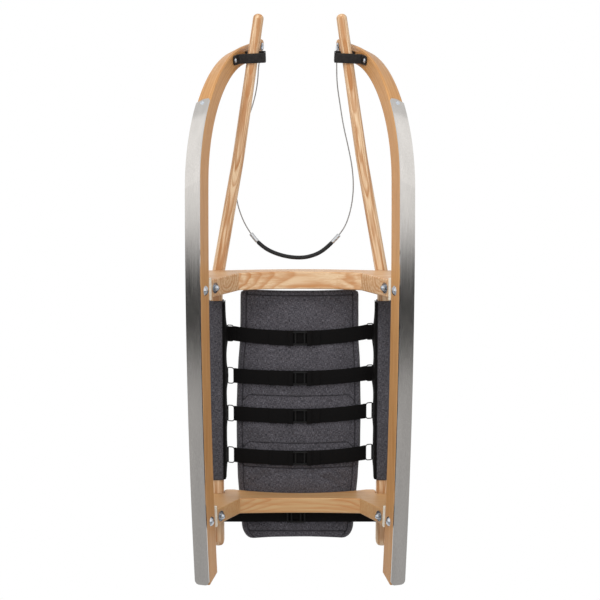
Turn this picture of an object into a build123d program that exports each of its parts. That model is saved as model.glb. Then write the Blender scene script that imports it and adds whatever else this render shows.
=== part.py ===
from math import asin, cos, pi, radians, sin, sqrt, tan
import os

from build123d import *

# A one-seat touring luge sled with flexible, canted runners, in millimetres.
# X is across the sled, -Y is the front, Z is up, and the runners stand on Z = 0.

# Driving sizes of the whole sled.
LENGTH = 1104.0
WIDTH = 432.4
CANT = 20.0
FRONT_BRIDGE_Y = -30.0
REAR_BRIDGE_Y = 426.0
SEAT_FRONT_Z = 191.0
SEAT_REAR_Z = 197.0

# Gaps between pieces that are put together, and how far a cutting tool runs past the wood.
SEAT_GAP = 0.3
BOLT_GAP = 0.3
OVERRUN = 5.0

# The runner is one bent lamination of ash with a steel rail under it.
RUNNER_WIDTH = 30.0
RUNNER_HEIGHT = 42.0
RAIL_THICKNESS = 3.0
ROCKER_RADIUS = 6200.0
ROCKER_LOW_Y = -76.0
HORN_START_Y = -226.0
HORN_SKEW = 15.0
HORN_RADIUS = 262.0
HORN_ANGLE = 82.0
HORN_TOP_STRAIGHT = 109.0
HORN_THICKNESS = 36.0
HORN_TIP_THICKNESS = 24.0
HORN_TIP_ROUND = 9.0
TAIL_SLANT = 12.0
RUNNER_EDGE_ROUND = 3.0
RAIL_FRONT_Y = -390.0
RAIL_TAIL_ROUND = 9.0
RAIL_NOSE_ROUND = 6.0

# The bridges are solid ash blocks cut to an arch, wide at the shoulders and narrow at the feet.
FRONT_BRIDGE_DEPTH = 35.0
REAR_BRIDGE_DEPTH = 31.0
LEG_PAD_THICKNESS = 6.0
LEG_PAD_LENGTH = 42.0
LEG_PAD_OVERHANG = 1.5
CREASE_HALF_SPAN = 120.0
FRONT_CREASE_DROP = 41.0
FRONT_ARCH_RISE = 20.0
FRONT_CROWN_RISE = 18.0
REAR_CREASE_DROP = 43.0
REAR_ARCH_RISE = 5.0
REAR_SHOULDER_RISE = 31.0
REAR_DIP = 29.0
REAR_SHOULDER_HALF_SPAN = 135.0
SHOULDER_CORNER = 7.0
LEG_OUTER_BEND_RISE = 41.0
LEG_OUTER_BEND_RADIUS = 40.0
BRIDGE_EDGE_ROUND = 2.5

# The stringers are straight rounded battens, bent inward ahead of the front bridge.
STRINGER_WIDTH = 25.5
STRINGER_HEIGHT = 32.0
STRINGER_CORNER = 9.0
STRINGER_X = 168.0
STRINGER_TAIL_Y = 524.0
STRINGER_BEND_Y = -15.0
STRINGER_SECOND_X = 122.6
STRINGER_SECOND_Y = -266.0
STRINGER_TIP_X = 80.0
STRINGER_TIP_Y = -551.5
STRINGER_TIP_WIDTH = 20.5
STRINGER_TIP_HEIGHT = 27.0
STRINGER_TAPER_Y = 20.0
STRINGER_NOSE_SHIFT = 1.5
STRINGER_BEND_RADIUS = 320.0
STRINGER_SECOND_RADIUS = 900.0
SHOULDER_MARGIN = 3.5

# Fasteners: carriage bolts with a dome nut and a washer, and countersunk wood screws.
BOLT_DIAMETER = 6.0
WASHER_DIAMETER = 21.0
WASHER_THICKNESS = 1.6
DOME_DIAMETER = 13.0
DOME_HEIGHT = 8.0
DOME_COLLAR = 2.5
HEAD_DIAMETER = 19.0
HEAD_HEIGHT = 5.0
OUTER_DOME_HEIGHT = 4.0
RUNNER_BOLT_HEIGHT = 26.0
LEG_BOLT_HEIGHT = 16.0
LINK_THICKNESS = 3.0
LINK_WIDTH = 28.0
LINK_END_MARGIN = 14.0
SCREW_HEAD_DIAMETER = 8.0
SCREW_SHANK_DIAMETER = 4.0
SCREW_LENGTH = 22.0
RAIL_SCREW_SETBACK = 9.0
TOP_SCREW_HEAD_DIAMETER = 12.0
TOP_SCREW_SHANK_DIAMETER = 6.0
TOP_SCREW_GRIP = 26.0
TOP_SCREW_RECESS = 0.8

# The leather loops that hold the stringers to the horns.
LOOP_WIDTH = 19.0
LOOP_THICKNESS = 3.0
LOOP_LOW_TAB = 27.0
LOOP_HIGH_TAB = 23.0
LOOP_INNER_REACH = 12.0
LOOP_Y = -467.0
LOOP_BEND_RADIUS = 7.0
LOOP_SCREW_HEAD_DIAMETER = 9.0
LOOP_SCREW_HEAD_HEIGHT = 2.6
LOOP_SCREW_INSET = 6.5
LOOP_LEAN = 0.13

# The sleeves, the seat mat and the straps under it.
SLEEVE_WALL = 2.7
SLEEVE_FRONT_Y = 14.0
SLEEVE_REAR_Y = 384.0
TAPE_WIDTH = 11.0
TAPE_THICKNESS = 2.0
TAPE_DROP = 4.0
TAPE_END_INSET = 3.0
STRAP_Y = (90.0, 172.0, 250.0, 337.0)
STRAP_WIDTH = 30.0
STRAP_THICKNESS = 1.8
STRAP_HALF_SPAN = 132.0
STRAP_SAG = 24.0
BUCKLE_LENGTH = 38.0
BUCKLE_WIDTH = 28.0
BUCKLE_THICKNESS = 4.0
BUCKLE_SLOT = 5.0
BUCKLE_FRAME = 3.2
BUCKLE_CORNER = 3.0
BUCKLE_EDGE_ROUND = 1.0
RING_WIRE = 2.4
RING_CORNER = 2.5
RING_TAPE_GAP = 0.6
REAR_STRAP_SETBACK = 2.0
REAR_STRAP_WIDTH = 27.0
REAR_BUCKLE_X = -8.0
MAT_THICKNESS = 9.0
MAT_GAP = 0.5
MAT_FRONT_Y = -6.0
MAT_REAR_Y = 505.0
MAT_FRONT_HALF_WIDTH = 118.0
MAT_WAIST_HALF_WIDTH = 128.0
MAT_WAIST_Y = 218.0
MAT_HIP_HALF_WIDTH = 124.0
MAT_HIP_Y = 380.0
MAT_TAIL_HALF_WIDTH = 112.0
MAT_FRONT_CORNER = 8.0
MAT_TAIL_CORNER = 28.0

# The pull cable with its hose grip, from the left horn tip to the right one.
CABLE_DIAMETER = 2.4
HOSE_DIAMETER = 8.4
FERRULE_DIAMETER = 9.6
HOSE_BORE_GAP = 0.4
FERRULE_LENGTH = 21.0
LUG_SETBACK = 12.0
LEFT_LUG_TURN_SHARE = 0.8
RIGHT_LUG_TURN_SHARE = 0.93
RIGHT_LUG_LEAN = 9.0
LUG_LENGTH = 17.0
LUG_WIDTH = 8.0
LUG_THICKNESS = 1.2
LUG_HEAD_DIAMETER = 7.0
LUG_HEAD_HEIGHT = 2.4
BARREL_DIAMETER = 4.4
BARREL_LENGTH = 9.0
CABLE_INSET = 2.0

# The cable's route from the left lug to the right one, through the grip in front of the bridge.
CABLE_ROUTE = [
    (-75.137, -487.07, 300.173),
    (-82.935, -456.67, 278.748),
    (-84, -421, 254.5),
    (-90, -385, 238),
    (-103, -347, 229),
    (-116, -304, 226),
    (-125, -261, 226),
    (-130, -217, 227),
    (-125, -173, 221),
    (-107, -130, 208),
    (-76, -93, 197),
    (-38, -76, 194),
    (2, -71, 193),
    (32, -78, 194),
    (54, -92, 196.5),
    (88, -127, 207),
    (101, -163, 216),
    (107, -203, 221),
    (105, -246, 226),
    (96.5, -289, 231),
    (86.5, -331, 239),
    (80, -373, 251.5),
    (74, -414, 268),
    (73.511, -451.433, 286.345),
    (74.379, -486.338, 301.341),
]
LEFT_FERRULE_RUN = 9
RIGHT_FERRULE_RUN = 14

os.makedirs("parts", exist_ok=True)


def write(name, *solids):
    """Write one node, as one or more solids that do not touch."""
    shape = solids[0] if len(solids) == 1 else Compound(children=list(solids))
    export_step(shape, f"parts/{name}.step")


def mirrored(solid):
    return mirror(solid, about=Plane.YZ)


def write_pair(name, solid):
    """Write the piece on the -X side and its mirror image on the +X side."""
    write(f"{name}_left", solid)
    write(f"{name}_right", mirrored(solid))


# The canted frame of the -X runner. Its own x is the sled's Y, its own y climbs along the cant
# and leans inward, and its own z points inward through the runner's side.
cant = radians(CANT)
rail_centre_x = RUNNER_WIDTH / 2 * cos(cant) - WIDTH / 2
rail_centre_z = RUNNER_WIDTH / 2 * sin(cant)
inward = Vector(cos(cant), 0, -sin(cant))
climb = Vector(sin(cant), 0, cos(cant))
runner_plane = Plane(origin=(rail_centre_x, 0, rail_centre_z), x_dir=(0, 1, 0), z_dir=inward)


def canted(across, height, y=0):
    """The point that lies `across` inward of the runner's middle and `height` up the cant."""
    base = Vector(rail_centre_x, y, rail_centre_z)
    return base + inward * across + climb * height


# Runner outline. The rocker is one long arc and the horn one short arc, tangent to each other.
# The horn starts further forward on the runner's inner side, so that it curls inward as it rises.
rocker_tail = asin((LENGTH / 2 - ROCKER_LOW_Y) / ROCKER_RADIUS)
horn_end = radians(HORN_ANGLE)
wood_depth = RAIL_THICKNESS + SEAT_GAP
top_depth = RAIL_THICKNESS + RUNNER_HEIGHT
outer_radius = HORN_RADIUS - wood_depth


def rocker_point(angle, depth):
    """A point on the rocker arc, `depth` above the rail's underside."""
    radius = ROCKER_RADIUS - depth
    return (ROCKER_LOW_Y + radius * sin(angle), ROCKER_RADIUS - radius * cos(angle))


def rocker_rise(y):
    """How high the rail's underside lies at y, measured up the cant."""
    return ROCKER_RADIUS - sqrt(ROCKER_RADIUS**2 - (y - ROCKER_LOW_Y) ** 2)


def rocker_arc(start_angle, end_angle, depth):
    middle = (start_angle + end_angle) / 2
    return ThreePointArc(
        rocker_point(start_angle, depth), rocker_point(middle, depth), rocker_point(end_angle, depth)
    )


def horn_start_angle(start_y):
    """The rocker's slope where the horn begins, which is negative in front of its lowest point."""
    return asin((start_y - ROCKER_LOW_Y) / ROCKER_RADIUS)


def horn_point(start_y, radius, depth, angle):
    """A point on the horn arc of `radius` that starts `depth` above the rail's underside."""
    start = horn_start_angle(start_y)
    y, height = rocker_point(start, depth)
    centre = (y - radius * sin(start), height + radius * cos(start))
    return (centre[0] - radius * sin(angle), centre[1] - radius * cos(angle))


def horn_arc(start_y, radius, depth, end_angle):
    start = -horn_start_angle(start_y)
    return ThreePointArc(
        horn_point(start_y, radius, depth, start),
        horn_point(start_y, radius, depth, (start + end_angle) / 2),
        horn_point(start_y, radius, depth, end_angle),
    )


def horn_inner_radius(start_y):
    """The radius on the horn's hollow side that leaves the horn its thickness at the arc's end."""
    turn_cosine = cos(horn_end + horn_start_angle(start_y))
    return outer_radius - (HORN_THICKNESS - RUNNER_HEIGHT * turn_cosine) / (1 - turn_cosine)


def runner_side(start_y):
    """The outline of one side of the runner, with its horn beginning at `start_y`."""
    start = horn_start_angle(start_y)
    inner_radius = horn_inner_radius(start_y)
    outer_end = horn_point(start_y, outer_radius, wood_depth, horn_end)
    inner_end = horn_point(start_y, inner_radius, top_depth, horn_end)
    tip_outer = (
        outer_end[0] - HORN_TOP_STRAIGHT * cos(horn_end),
        outer_end[1] + HORN_TOP_STRAIGHT * sin(horn_end),
    )
    tip_inner = (
        tip_outer[0] + HORN_TIP_THICKNESS * sin(horn_end),
        tip_outer[1] + HORN_TIP_THICKNESS * cos(horn_end),
    )
    tip = FilletPolyline([outer_end, tip_outer, tip_inner, inner_end], radius=HORN_TIP_ROUND)
    tail_angle = asin((LENGTH / 2 - TAIL_SLANT - ROCKER_LOW_Y) / ROCKER_RADIUS)
    return Wire(
        [
            rocker_arc(rocker_tail, start, wood_depth),
            horn_arc(start_y, outer_radius, wood_depth, horn_end),
            *tip.edges(),
            horn_arc(start_y, inner_radius, top_depth, horn_end),
            rocker_arc(start, tail_angle, top_depth),
            Line(rocker_point(tail_angle, top_depth), rocker_point(rocker_tail, wood_depth)),
        ]
    )


def between_sides(outline):
    """A solid whose outer and inner sides are the outlines for the two starts of the horn."""
    outer_side = runner_plane * Pos(0, 0, -RUNNER_WIDTH / 2) * make_face(outline(HORN_START_Y))
    inner_side = runner_plane * Pos(0, 0, RUNNER_WIDTH / 2) * make_face(outline(HORN_START_Y - HORN_SKEW))
    return loft([outer_side, inner_side], ruled=True)


runner_blank = between_sides(runner_side)
upper_edges = [
    e
    for e in runner_blank.edges()
    if e.length > RUNNER_WIDTH * 2 and e.center().Z > canted(0, top_depth - RUNNER_HEIGHT / 4).Z
]
runner_blank = fillet(upper_edges, RUNNER_EDGE_ROUND)

# Each runner takes two cross bolts, one at each bridge.
bridge_places = (("front", FRONT_BRIDGE_Y), ("rear", REAR_BRIDGE_Y))


def cross_cylinder(diameter, start, end, height, y):
    """A round bar through the runner, between two places along its inward direction."""
    plane = Plane(origin=canted(start, height, y), z_dir=inward)
    return plane * Pos(0, 0, (end - start) / 2) * Cylinder(diameter / 2, end - start)


runner = runner_blank
for _, bridge_y in bridge_places:
    height = rocker_rise(bridge_y) + RUNNER_BOLT_HEIGHT
    reach = RUNNER_WIDTH / 2 + OVERRUN
    runner -= cross_cylinder(BOLT_DIAMETER + 2 * BOLT_GAP, -reach, reach, height, bridge_y)

# The rail is a flat steel strip bent to the runner's underside, with a rounded nose.

def rail_end_angle(start_y):
    """Where on the horn arc the rail's nose lies, the same way along for both sides."""
    centre_y = horn_point(start_y, HORN_RADIUS, 0, 0)[0]
    nose_y = RAIL_FRONT_Y + HORN_SKEW / 2 + (start_y - HORN_START_Y)
    return asin((centre_y - nose_y) / HORN_RADIUS)


def rail_side(start_y):
    start = horn_start_angle(start_y)
    nose = rail_end_angle(start_y)
    upper_radius = HORN_RADIUS - RAIL_THICKNESS
    return Wire(
        [
            rocker_arc(rocker_tail, start, 0),
            horn_arc(start_y, HORN_RADIUS, 0, nose),
            Line(
                horn_point(start_y, HORN_RADIUS, 0, nose),
                horn_point(start_y, upper_radius, RAIL_THICKNESS, nose),
            ),
            horn_arc(start_y, upper_radius, RAIL_THICKNESS, nose),
            rocker_arc(start, rocker_tail, RAIL_THICKNESS),
            Line(rocker_point(rocker_tail, RAIL_THICKNESS), rocker_point(rocker_tail, 0)),
        ]
    )


rail = between_sides(rail_side)


def short_edges(solid, y_sign, length):
    """The edges through the strip's thickness at its front (-1) or rear (+1) end."""
    ordered = [e for e in solid.edges() if abs(e.length - length) < length / 4]
    ordered.sort(key=lambda e: y_sign * e.center().Y)
    return ordered[-2:]


rail = fillet(short_edges(rail, 1, RAIL_THICKNESS), RAIL_TAIL_ROUND)


def rail_point(arc_back):
    """A point on the rail's middle line, `arc_back` behind its nose, with its normal and heading."""
    start_y = HORN_START_Y - HORN_SKEW / 2
    angle = rail_end_angle(start_y) - arc_back / HORN_RADIUS
    y, height = horn_point(start_y, HORN_RADIUS, 0, angle)
    normal = climb * -cos(angle) + Vector(0, -sin(angle), 0)
    forward = climb * sin(angle) + Vector(0, -cos(angle), 0)
    return canted(0, height, y), normal, forward


round_point, round_normal, round_forward = rail_point(RUNNER_WIDTH / 2)
nose_plane = Plane(origin=round_point, x_dir=round_forward, z_dir=round_normal)
nose_block = Pos(RUNNER_WIDTH / 2, 0, 0) * Box(RUNNER_WIDTH, RUNNER_WIDTH + 2 * OVERRUN, 4 * OVERRUN)
nose_outline = RectangleRounded(RUNNER_WIDTH + 2 * SEAT_GAP, RUNNER_WIDTH, RAIL_NOSE_ROUND)
nose_shape = Pos(0, 0, -2.5 * OVERRUN) * extrude(Rot(0, 0, 90) * nose_outline, 5 * OVERRUN)
rail -= nose_plane * (nose_block - nose_shape)


def wood_screw(point, outward, head, shank, length, recess=0):
    """A countersunk screw whose flat head lies `recess` under `point`."""
    top = point - outward * recess
    plane = Plane(origin=top, z_dir=outward * -1)
    cone = plane * Pos(0, 0, (head - shank) / 4) * Cone(head / 2, shank / 2, (head - shank) / 2)
    body = plane * Pos(0, 0, length / 2) * Cylinder(shank / 2, length)
    return cone + body


def screw_hole(point, outward, head, shank, length):
    """The hole that a countersunk screw leaves room for, with the bolt gap all round."""
    grown = wood_screw(point, outward, head + 2 * BOLT_GAP, shank + 2 * BOLT_GAP, length + BOLT_GAP)
    plane = Plane(origin=point, z_dir=outward)
    mouth = plane * Pos(0, 0, OVERRUN / 2) * Cylinder(head / 2 + BOLT_GAP, OVERRUN)
    return grown + mouth


nose_point, nose_normal, _ = rail_point(RAIL_SCREW_SETBACK)
nose_hole = screw_hole(
    nose_point, nose_normal, SCREW_HEAD_DIAMETER, SCREW_SHANK_DIAMETER, SCREW_LENGTH
)
rail -= nose_hole
runner -= nose_hole
rail_screw = wood_screw(
    nose_point, nose_normal, SCREW_HEAD_DIAMETER, SCREW_SHANK_DIAMETER, SCREW_LENGTH, BOLT_GAP
)

# The stringers lie in one plane that climbs gently to the rear.
seat_slope = (SEAT_REAR_Z - SEAT_FRONT_Z) / (REAR_BRIDGE_Y - FRONT_BRIDGE_Y)


def stringer_bottom(y):
    return SEAT_FRONT_Z + seat_slope * (y - FRONT_BRIDGE_Y)


def stringer_middle(y):
    return stringer_bottom(y) + STRINGER_HEIGHT / 2


seat_plane = Plane(
    origin=(0, 0, stringer_middle(0)), x_dir=(1, 0, 0), z_dir=(0, -seat_slope, 1)
)
slope_length = sqrt(1 + seat_slope**2)
stringer_path = seat_plane * FilletPolyline(
    [
        (-STRINGER_X, STRINGER_TAPER_Y * slope_length),
        (-STRINGER_X, STRINGER_BEND_Y * slope_length),
        (-STRINGER_SECOND_X, STRINGER_SECOND_Y * slope_length),
        (-STRINGER_TIP_X, STRINGER_TIP_Y * slope_length),
    ],
    radius=[STRINGER_BEND_RADIUS, STRINGER_SECOND_RADIUS],
)


def bar_section(point, ahead, width, height):
    """The stringer's rounded section, square to its line at a point."""
    plane = Plane(origin=point, x_dir=(1, 0, 0), z_dir=ahead)
    return plane * RectangleRounded(width, height, STRINGER_CORNER)


def rounded_end(bar, tip, ahead, width, height):
    """Round a bar's end fully in plan, and its upper and lower corners as seen from the side.

    `ahead` points out of the bar's end. The round from the side starts beyond the tip, so it leaves
    a low upright nose there.
    """
    up = Vector(0, -seat_slope, 1).normalized()
    in_plan = (up, width / 2 + SEAT_GAP, -SEAT_GAP)
    from_side = (ahead.cross(up), height / 2 + SEAT_GAP, STRINGER_NOSE_SHIFT)
    for axis, radius, beyond in (in_plan, from_side):
        plane = Plane(origin=tip + ahead * (beyond - radius), x_dir=ahead, z_dir=axis)
        block = Pos(radius, 0, 0) * Box(2 * radius, 2 * STRINGER_HEIGHT, 2 * STRINGER_HEIGHT)
        bar -= plane * (block - Cylinder(radius, 2 * STRINGER_HEIGHT + OVERRUN))
    return bar


# The rear part is a straight bar, and the bent front part tapers towards the tip.
taper_start = stringer_path @ 0
tip_ahead = stringer_path % 1
tail_length = (STRINGER_TAIL_Y - STRINGER_TAPER_Y) * slope_length
tail_ahead = Vector(0, 1, seat_slope).normalized()
full_section = bar_section(taper_start, tail_ahead * -1, STRINGER_WIDTH, STRINGER_HEIGHT)
tip_section = bar_section(stringer_path @ 1, tip_ahead, STRINGER_TIP_WIDTH, STRINGER_TIP_HEIGHT)
stringer = sweep([full_section, tip_section], path=stringer_path, multisection=True)
stringer += extrude(full_section, -tail_length)
stringer = rounded_end(
    stringer, stringer_path @ 1, tip_ahead, STRINGER_TIP_WIDTH, STRINGER_TIP_HEIGHT
)
stringer = rounded_end(
    stringer, taper_start + tail_ahead * tail_length, tail_ahead, STRINGER_WIDTH, STRINGER_HEIGHT
)


def taper_share(y):
    """How far along the taper y lies, from 0 to 1."""
    return (STRINGER_TAPER_Y - y) / (STRINGER_TAPER_Y - STRINGER_TIP_Y)


def stringer_size(y):
    """The tapered part's width and height at y."""
    share = taper_share(y)
    width = STRINGER_WIDTH + (STRINGER_TIP_WIDTH - STRINGER_WIDTH) * share
    height = STRINGER_HEIGHT + (STRINGER_TIP_HEIGHT - STRINGER_HEIGHT) * share
    return width, height


# Bridge outlines, drawn from the front for the -X half and mirrored.
shoulder_outer_x = -STRINGER_X - STRINGER_WIDTH / 2 - SHOULDER_MARGIN


def foot_height(y):
    """Where a leg's foot ends, up the cant: on its pad on the runner's upper side."""
    return rocker_rise(y) + top_depth + LEG_PAD_THICKNESS + 2 * SEAT_GAP


def leg_frame(y, crease_z):
    """The foot's inner and outer corners, the crease, and the inner face's direction."""
    inner = canted(RUNNER_WIDTH / 2, foot_height(y))
    outer = canted(-RUNNER_WIDTH / 2, foot_height(y))
    crease = Vector(-CREASE_HALF_SPAN, 0, crease_z)
    direction = (crease - inner).normalized()
    return inner, outer, crease, direction


def flat(point):
    return (point.X, point.Z)


def leg_outer_points(outer, direction):
    """The leg's outer face climbs beside the inner one, then stands upright."""
    bend = outer + direction * (LEG_OUTER_BEND_RISE / direction.Z)
    return outer, bend


def bridge_half_edges(y, crease_z, arch_z, shoulder_z, top_edges):
    """The half outline's edges, from the middle of the underside to the middle of the top."""
    inner, outer, crease, direction = leg_frame(y, crease_z)
    outer, bend = leg_outer_points(outer, direction)
    arch_rise = arch_z - crease_z
    arch_radius = (CREASE_HALF_SPAN**2 + arch_rise**2) / (2 * arch_rise)
    quarter = CREASE_HALF_SPAN / 2
    quarter_z = arch_z - arch_radius + sqrt(arch_radius**2 - quarter**2)
    edges = [
        ThreePointArc((0, arch_z), (-quarter, quarter_z), flat(crease)),
        Line(flat(crease), flat(inner)),
        Line(flat(inner), flat(outer)),
    ]
    upright_z = bend.Z + LEG_OUTER_BEND_RISE
    side = FilletPolyline(
        [flat(outer), flat(bend), (shoulder_outer_x, upright_z), (shoulder_outer_x, shoulder_z)],
        radius=[LEG_OUTER_BEND_RADIUS, LEG_OUTER_BEND_RADIUS],
    )
    return edges + list(side.edges()) + top_edges


def front_top_edges():
    """A low crown between the shoulders that carry the stringers."""
    crown_z = SEAT_FRONT_Z - SEAT_GAP + FRONT_CROWN_RISE
    shoulder_z = SEAT_FRONT_Z - SEAT_GAP
    inner_x = -STRINGER_X + STRINGER_WIDTH / 2 + SHOULDER_MARGIN
    radius = (inner_x**2 + FRONT_CROWN_RISE**2) / (2 * FRONT_CROWN_RISE)
    middle_z = crown_z - radius + sqrt(radius**2 - (inner_x / 2) ** 2)
    return [
        Line((shoulder_outer_x, shoulder_z), (inner_x, shoulder_z)),
        ThreePointArc((inner_x, shoulder_z), (inner_x / 2, middle_z), (0, crown_z)),
    ]


dip_radius = (REAR_SHOULDER_HALF_SPAN**2 + REAR_DIP**2) / (2 * REAR_DIP)
dip_low_z = SEAT_REAR_Z + REAR_SHOULDER_RISE - REAR_DIP
dip_centre_z = dip_low_z + dip_radius


def rear_top_edges():
    """A notch for the stringer, a raised shoulder, and the dip that the seat lies in."""
    notch_z = SEAT_REAR_Z - SEAT_GAP
    notch_x = -STRINGER_X + STRINGER_WIDTH / 2 + SEAT_GAP
    top_z = SEAT_REAR_Z + REAR_SHOULDER_RISE
    half = REAR_SHOULDER_HALF_SPAN / 2
    half_z = dip_centre_z - sqrt(dip_radius**2 - half**2)
    return [
        Line((shoulder_outer_x, notch_z), (notch_x, notch_z)),
        Line((notch_x, notch_z), (notch_x, top_z - SHOULDER_CORNER)),
        RadiusArc((notch_x, top_z - SHOULDER_CORNER), (notch_x + SHOULDER_CORNER, top_z), SHOULDER_CORNER),
        Line((notch_x + SHOULDER_CORNER, top_z), (-REAR_SHOULDER_HALF_SPAN, top_z)),
        ThreePointArc((-REAR_SHOULDER_HALF_SPAN, top_z), (-half, half_z), (0, dip_low_z)),
    ]


def make_bridge(y, depth, crease_z, arch_rise, seat_z, top_edges):
    """The whole bridge, from its half outline and its mirror image."""
    half = bridge_half_edges(
        y, crease_z, crease_z + arch_rise, seat_z - SEAT_GAP, top_edges
    )
    left = make_face(Wire(half + [Line((0, crease_z + arch_rise), half_top(half))]))
    outline = left + mirror(left, about=Plane.YZ)
    front_plane = Plane(origin=(0, y + depth / 2, 0), x_dir=(1, 0, 0), z_dir=(0, -1, 0))
    block = extrude(front_plane * outline, depth, dir=(0, -1, 0)).clean()
    front, *_, back = block.faces().sort_by(Axis.Y)
    return fillet(front.edges() + back.edges(), BRIDGE_EDGE_ROUND)


def half_top(edges):
    """The end of the half outline that lies in the middle of the top."""
    points = [v for e in edges for v in e.vertices()]
    top = max((v for v in points if abs(v.X) < SEAT_GAP), key=lambda v: v.Y)
    return (top.X, top.Y)


front_crease_z = SEAT_FRONT_Z - FRONT_CREASE_DROP
rear_crease_z = SEAT_REAR_Z - REAR_CREASE_DROP
front_bridge = make_bridge(
    FRONT_BRIDGE_Y, FRONT_BRIDGE_DEPTH, front_crease_z, FRONT_ARCH_RISE, SEAT_FRONT_Z, front_top_edges()
)
rear_bridge = make_bridge(
    REAR_BRIDGE_Y, REAR_BRIDGE_DEPTH, rear_crease_z, REAR_ARCH_RISE, SEAT_REAR_Z, rear_top_edges()
)


def along_runner(y):
    """The canted frame at y, turned so that its own x follows the rail."""
    slope = asin((y - ROCKER_LOW_Y) / ROCKER_RADIUS)
    heading = Vector(0, cos(slope), 0) + climb * sin(slope)
    return Plane(origin=canted(0, rocker_rise(y), y), x_dir=heading, z_dir=inward)


def leg_pad(y):
    """A pad between the runner and the leg's foot, showing a little on the inner side."""
    width = RUNNER_WIDTH + LEG_PAD_OVERHANG
    middle = top_depth + SEAT_GAP + LEG_PAD_THICKNESS / 2
    block = Box(LEG_PAD_LENGTH, LEG_PAD_THICKNESS, width)
    return along_runner(y) * Pos(0, middle, LEG_PAD_OVERHANG / 2) * block


def foot_cutter(y):
    """Everything below the pad's upper side, which trims the foot to the rocker's slope."""
    top = top_depth + LEG_PAD_THICKNESS + 2 * SEAT_GAP
    block = Box(2 * LEG_PAD_LENGTH, top_depth, 3 * RUNNER_WIDTH)
    return along_runner(y) * Pos(0, top - top_depth / 2, 0) * block


def cap(diameter, height):
    """A low dome on the plane z = 0, turned from an arc."""
    radius = diameter / 2
    bulge = (radius**2 + height**2) / (2 * height)
    angle = asin(radius / bulge) / 2
    middle = (bulge * sin(angle), height - bulge * (1 - cos(angle)))
    outline = Plane.XZ * make_face(
        Wire(
            [
                Line((0, 0), (radius, 0)),
                ThreePointArc((radius, 0), middle, (0, height)),
                Line((0, height), (0, 0)),
            ]
        )
    )
    return revolve(outline, Axis.Z)


def cap_nut():
    """A washer, a hexagon and a dome, one above the other from z = 0."""
    washer = Pos(0, 0, WASHER_THICKNESS / 2) * Cylinder(WASHER_DIAMETER / 2, WASHER_THICKNESS)
    hexagon = extrude(RegularPolygon(DOME_DIAMETER / 2, 6), DOME_COLLAR)
    dome = Pos(0, 0, DOME_COLLAR) * cap(DOME_DIAMETER * cos(radians(30)), DOME_HEIGHT - DOME_COLLAR)
    return washer + Pos(0, 0, WASHER_THICKNESS) * (hexagon + dome)


def bolt(start, outward, grip, start_end, far_end):
    """A bolt that lies between `start` and the point `grip` behind it, with the two end pieces."""
    front = Plane(origin=start, x_dir=(0, 1, 0), z_dir=outward)
    back = Plane(origin=start - outward * grip, x_dir=(0, 1, 0), z_dir=outward * -1)
    shank = front * Pos(0, 0, -grip / 2) * Cylinder(BOLT_DIAMETER / 2, grip + BOLT_GAP)
    return shank + front * start_end + back * far_end


def bolt_hole(start, outward, grip):
    front = Plane(origin=start, z_dir=outward)
    return front * Pos(0, 0, -grip / 2) * Cylinder(BOLT_DIAMETER / 2 + BOLT_GAP, grip + 2 * OVERRUN)


def crossing(point, direction, other, other_direction):
    """Where two lines meet in the plane across the sled."""
    normal = Vector(other_direction.Z, 0, -other_direction.X)
    share = (other - point).dot(normal) / direction.dot(normal)
    return point + direction * share


class Leg:
    """Places on one leg: its inner face, the link plate outside it and the two bolts."""

    def __init__(self, y, crease_z):
        self.y = y
        self.inner, self.outer, _, self.direction = leg_frame(y, crease_z)
        self.normal = Vector(self.direction.Z, 0, -self.direction.X)
        self.thickness = (self.inner - self.outer).dot(self.normal)
        self.bolt_point = self.inner + self.direction * LEG_BOLT_HEIGHT + Vector(0, y, 0)
        self.bolt_grip = self.thickness + SEAT_GAP + LINK_THICKNESS
        self.runner_point = canted(RUNNER_WIDTH / 2, rocker_rise(y) + RUNNER_BOLT_HEIGHT, y)
        self.runner_grip = RUNNER_WIDTH + SEAT_GAP + LINK_THICKNESS

    def link_plate(self):
        """A flat bar on the outside, bent where the leg leaves the runner's cant."""
        low = self.runner_point - inward * (RUNNER_WIDTH + SEAT_GAP)
        high = self.bolt_point - self.normal * (self.thickness + SEAT_GAP)
        low_end = low - climb * LINK_END_MARGIN
        high_end = high + self.direction * LINK_END_MARGIN
        bend = crossing(low, climb, high, self.direction)
        share = LINK_THICKNESS / (1 + inward.dot(self.normal))
        outer_bend = bend - (inward + self.normal) * share
        outline = [
            low_end,
            bend,
            high_end,
            high_end - self.normal * LINK_THICKNESS,
            outer_bend,
            low_end - inward * LINK_THICKNESS,
        ]
        profile = make_face(Polyline(*[flat(p) for p in outline], close=True))
        side = Plane(origin=(0, self.y + LINK_WIDTH / 2, 0), x_dir=(1, 0, 0), z_dir=(0, -1, 0))
        plate = extrude(side * profile, LINK_WIDTH, dir=(0, -1, 0))
        corners = [e for e in plate.edges() if abs(e.length - LINK_THICKNESS) < LINK_THICKNESS / 10]
        corners.sort(key=lambda e: e.center().Z)
        plate = fillet(corners[:2] + corners[-2:], LINK_WIDTH / 2 - SEAT_GAP)
        plate -= bolt_hole(self.runner_point, inward, self.runner_grip)
        return plate - bolt_hole(self.bolt_point, self.normal, self.bolt_grip)

    def leg_bolt(self):
        return bolt(self.bolt_point, self.normal, self.bolt_grip, cap_nut(), cap(HEAD_DIAMETER, HEAD_HEIGHT))

    def runner_bolt(self):
        domes = cap(HEAD_DIAMETER, HEAD_HEIGHT), cap(HEAD_DIAMETER, OUTER_DOME_HEIGHT)
        return bolt(self.runner_point, inward, self.runner_grip, *domes)


# A wood screw goes down through each stringer into the bridge under it.
def top_screw_place(y):
    point = Vector(-STRINGER_X, y, stringer_bottom(y) + STRINGER_HEIGHT)
    return point, Vector(0, -seat_slope, 1).normalized()


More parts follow.
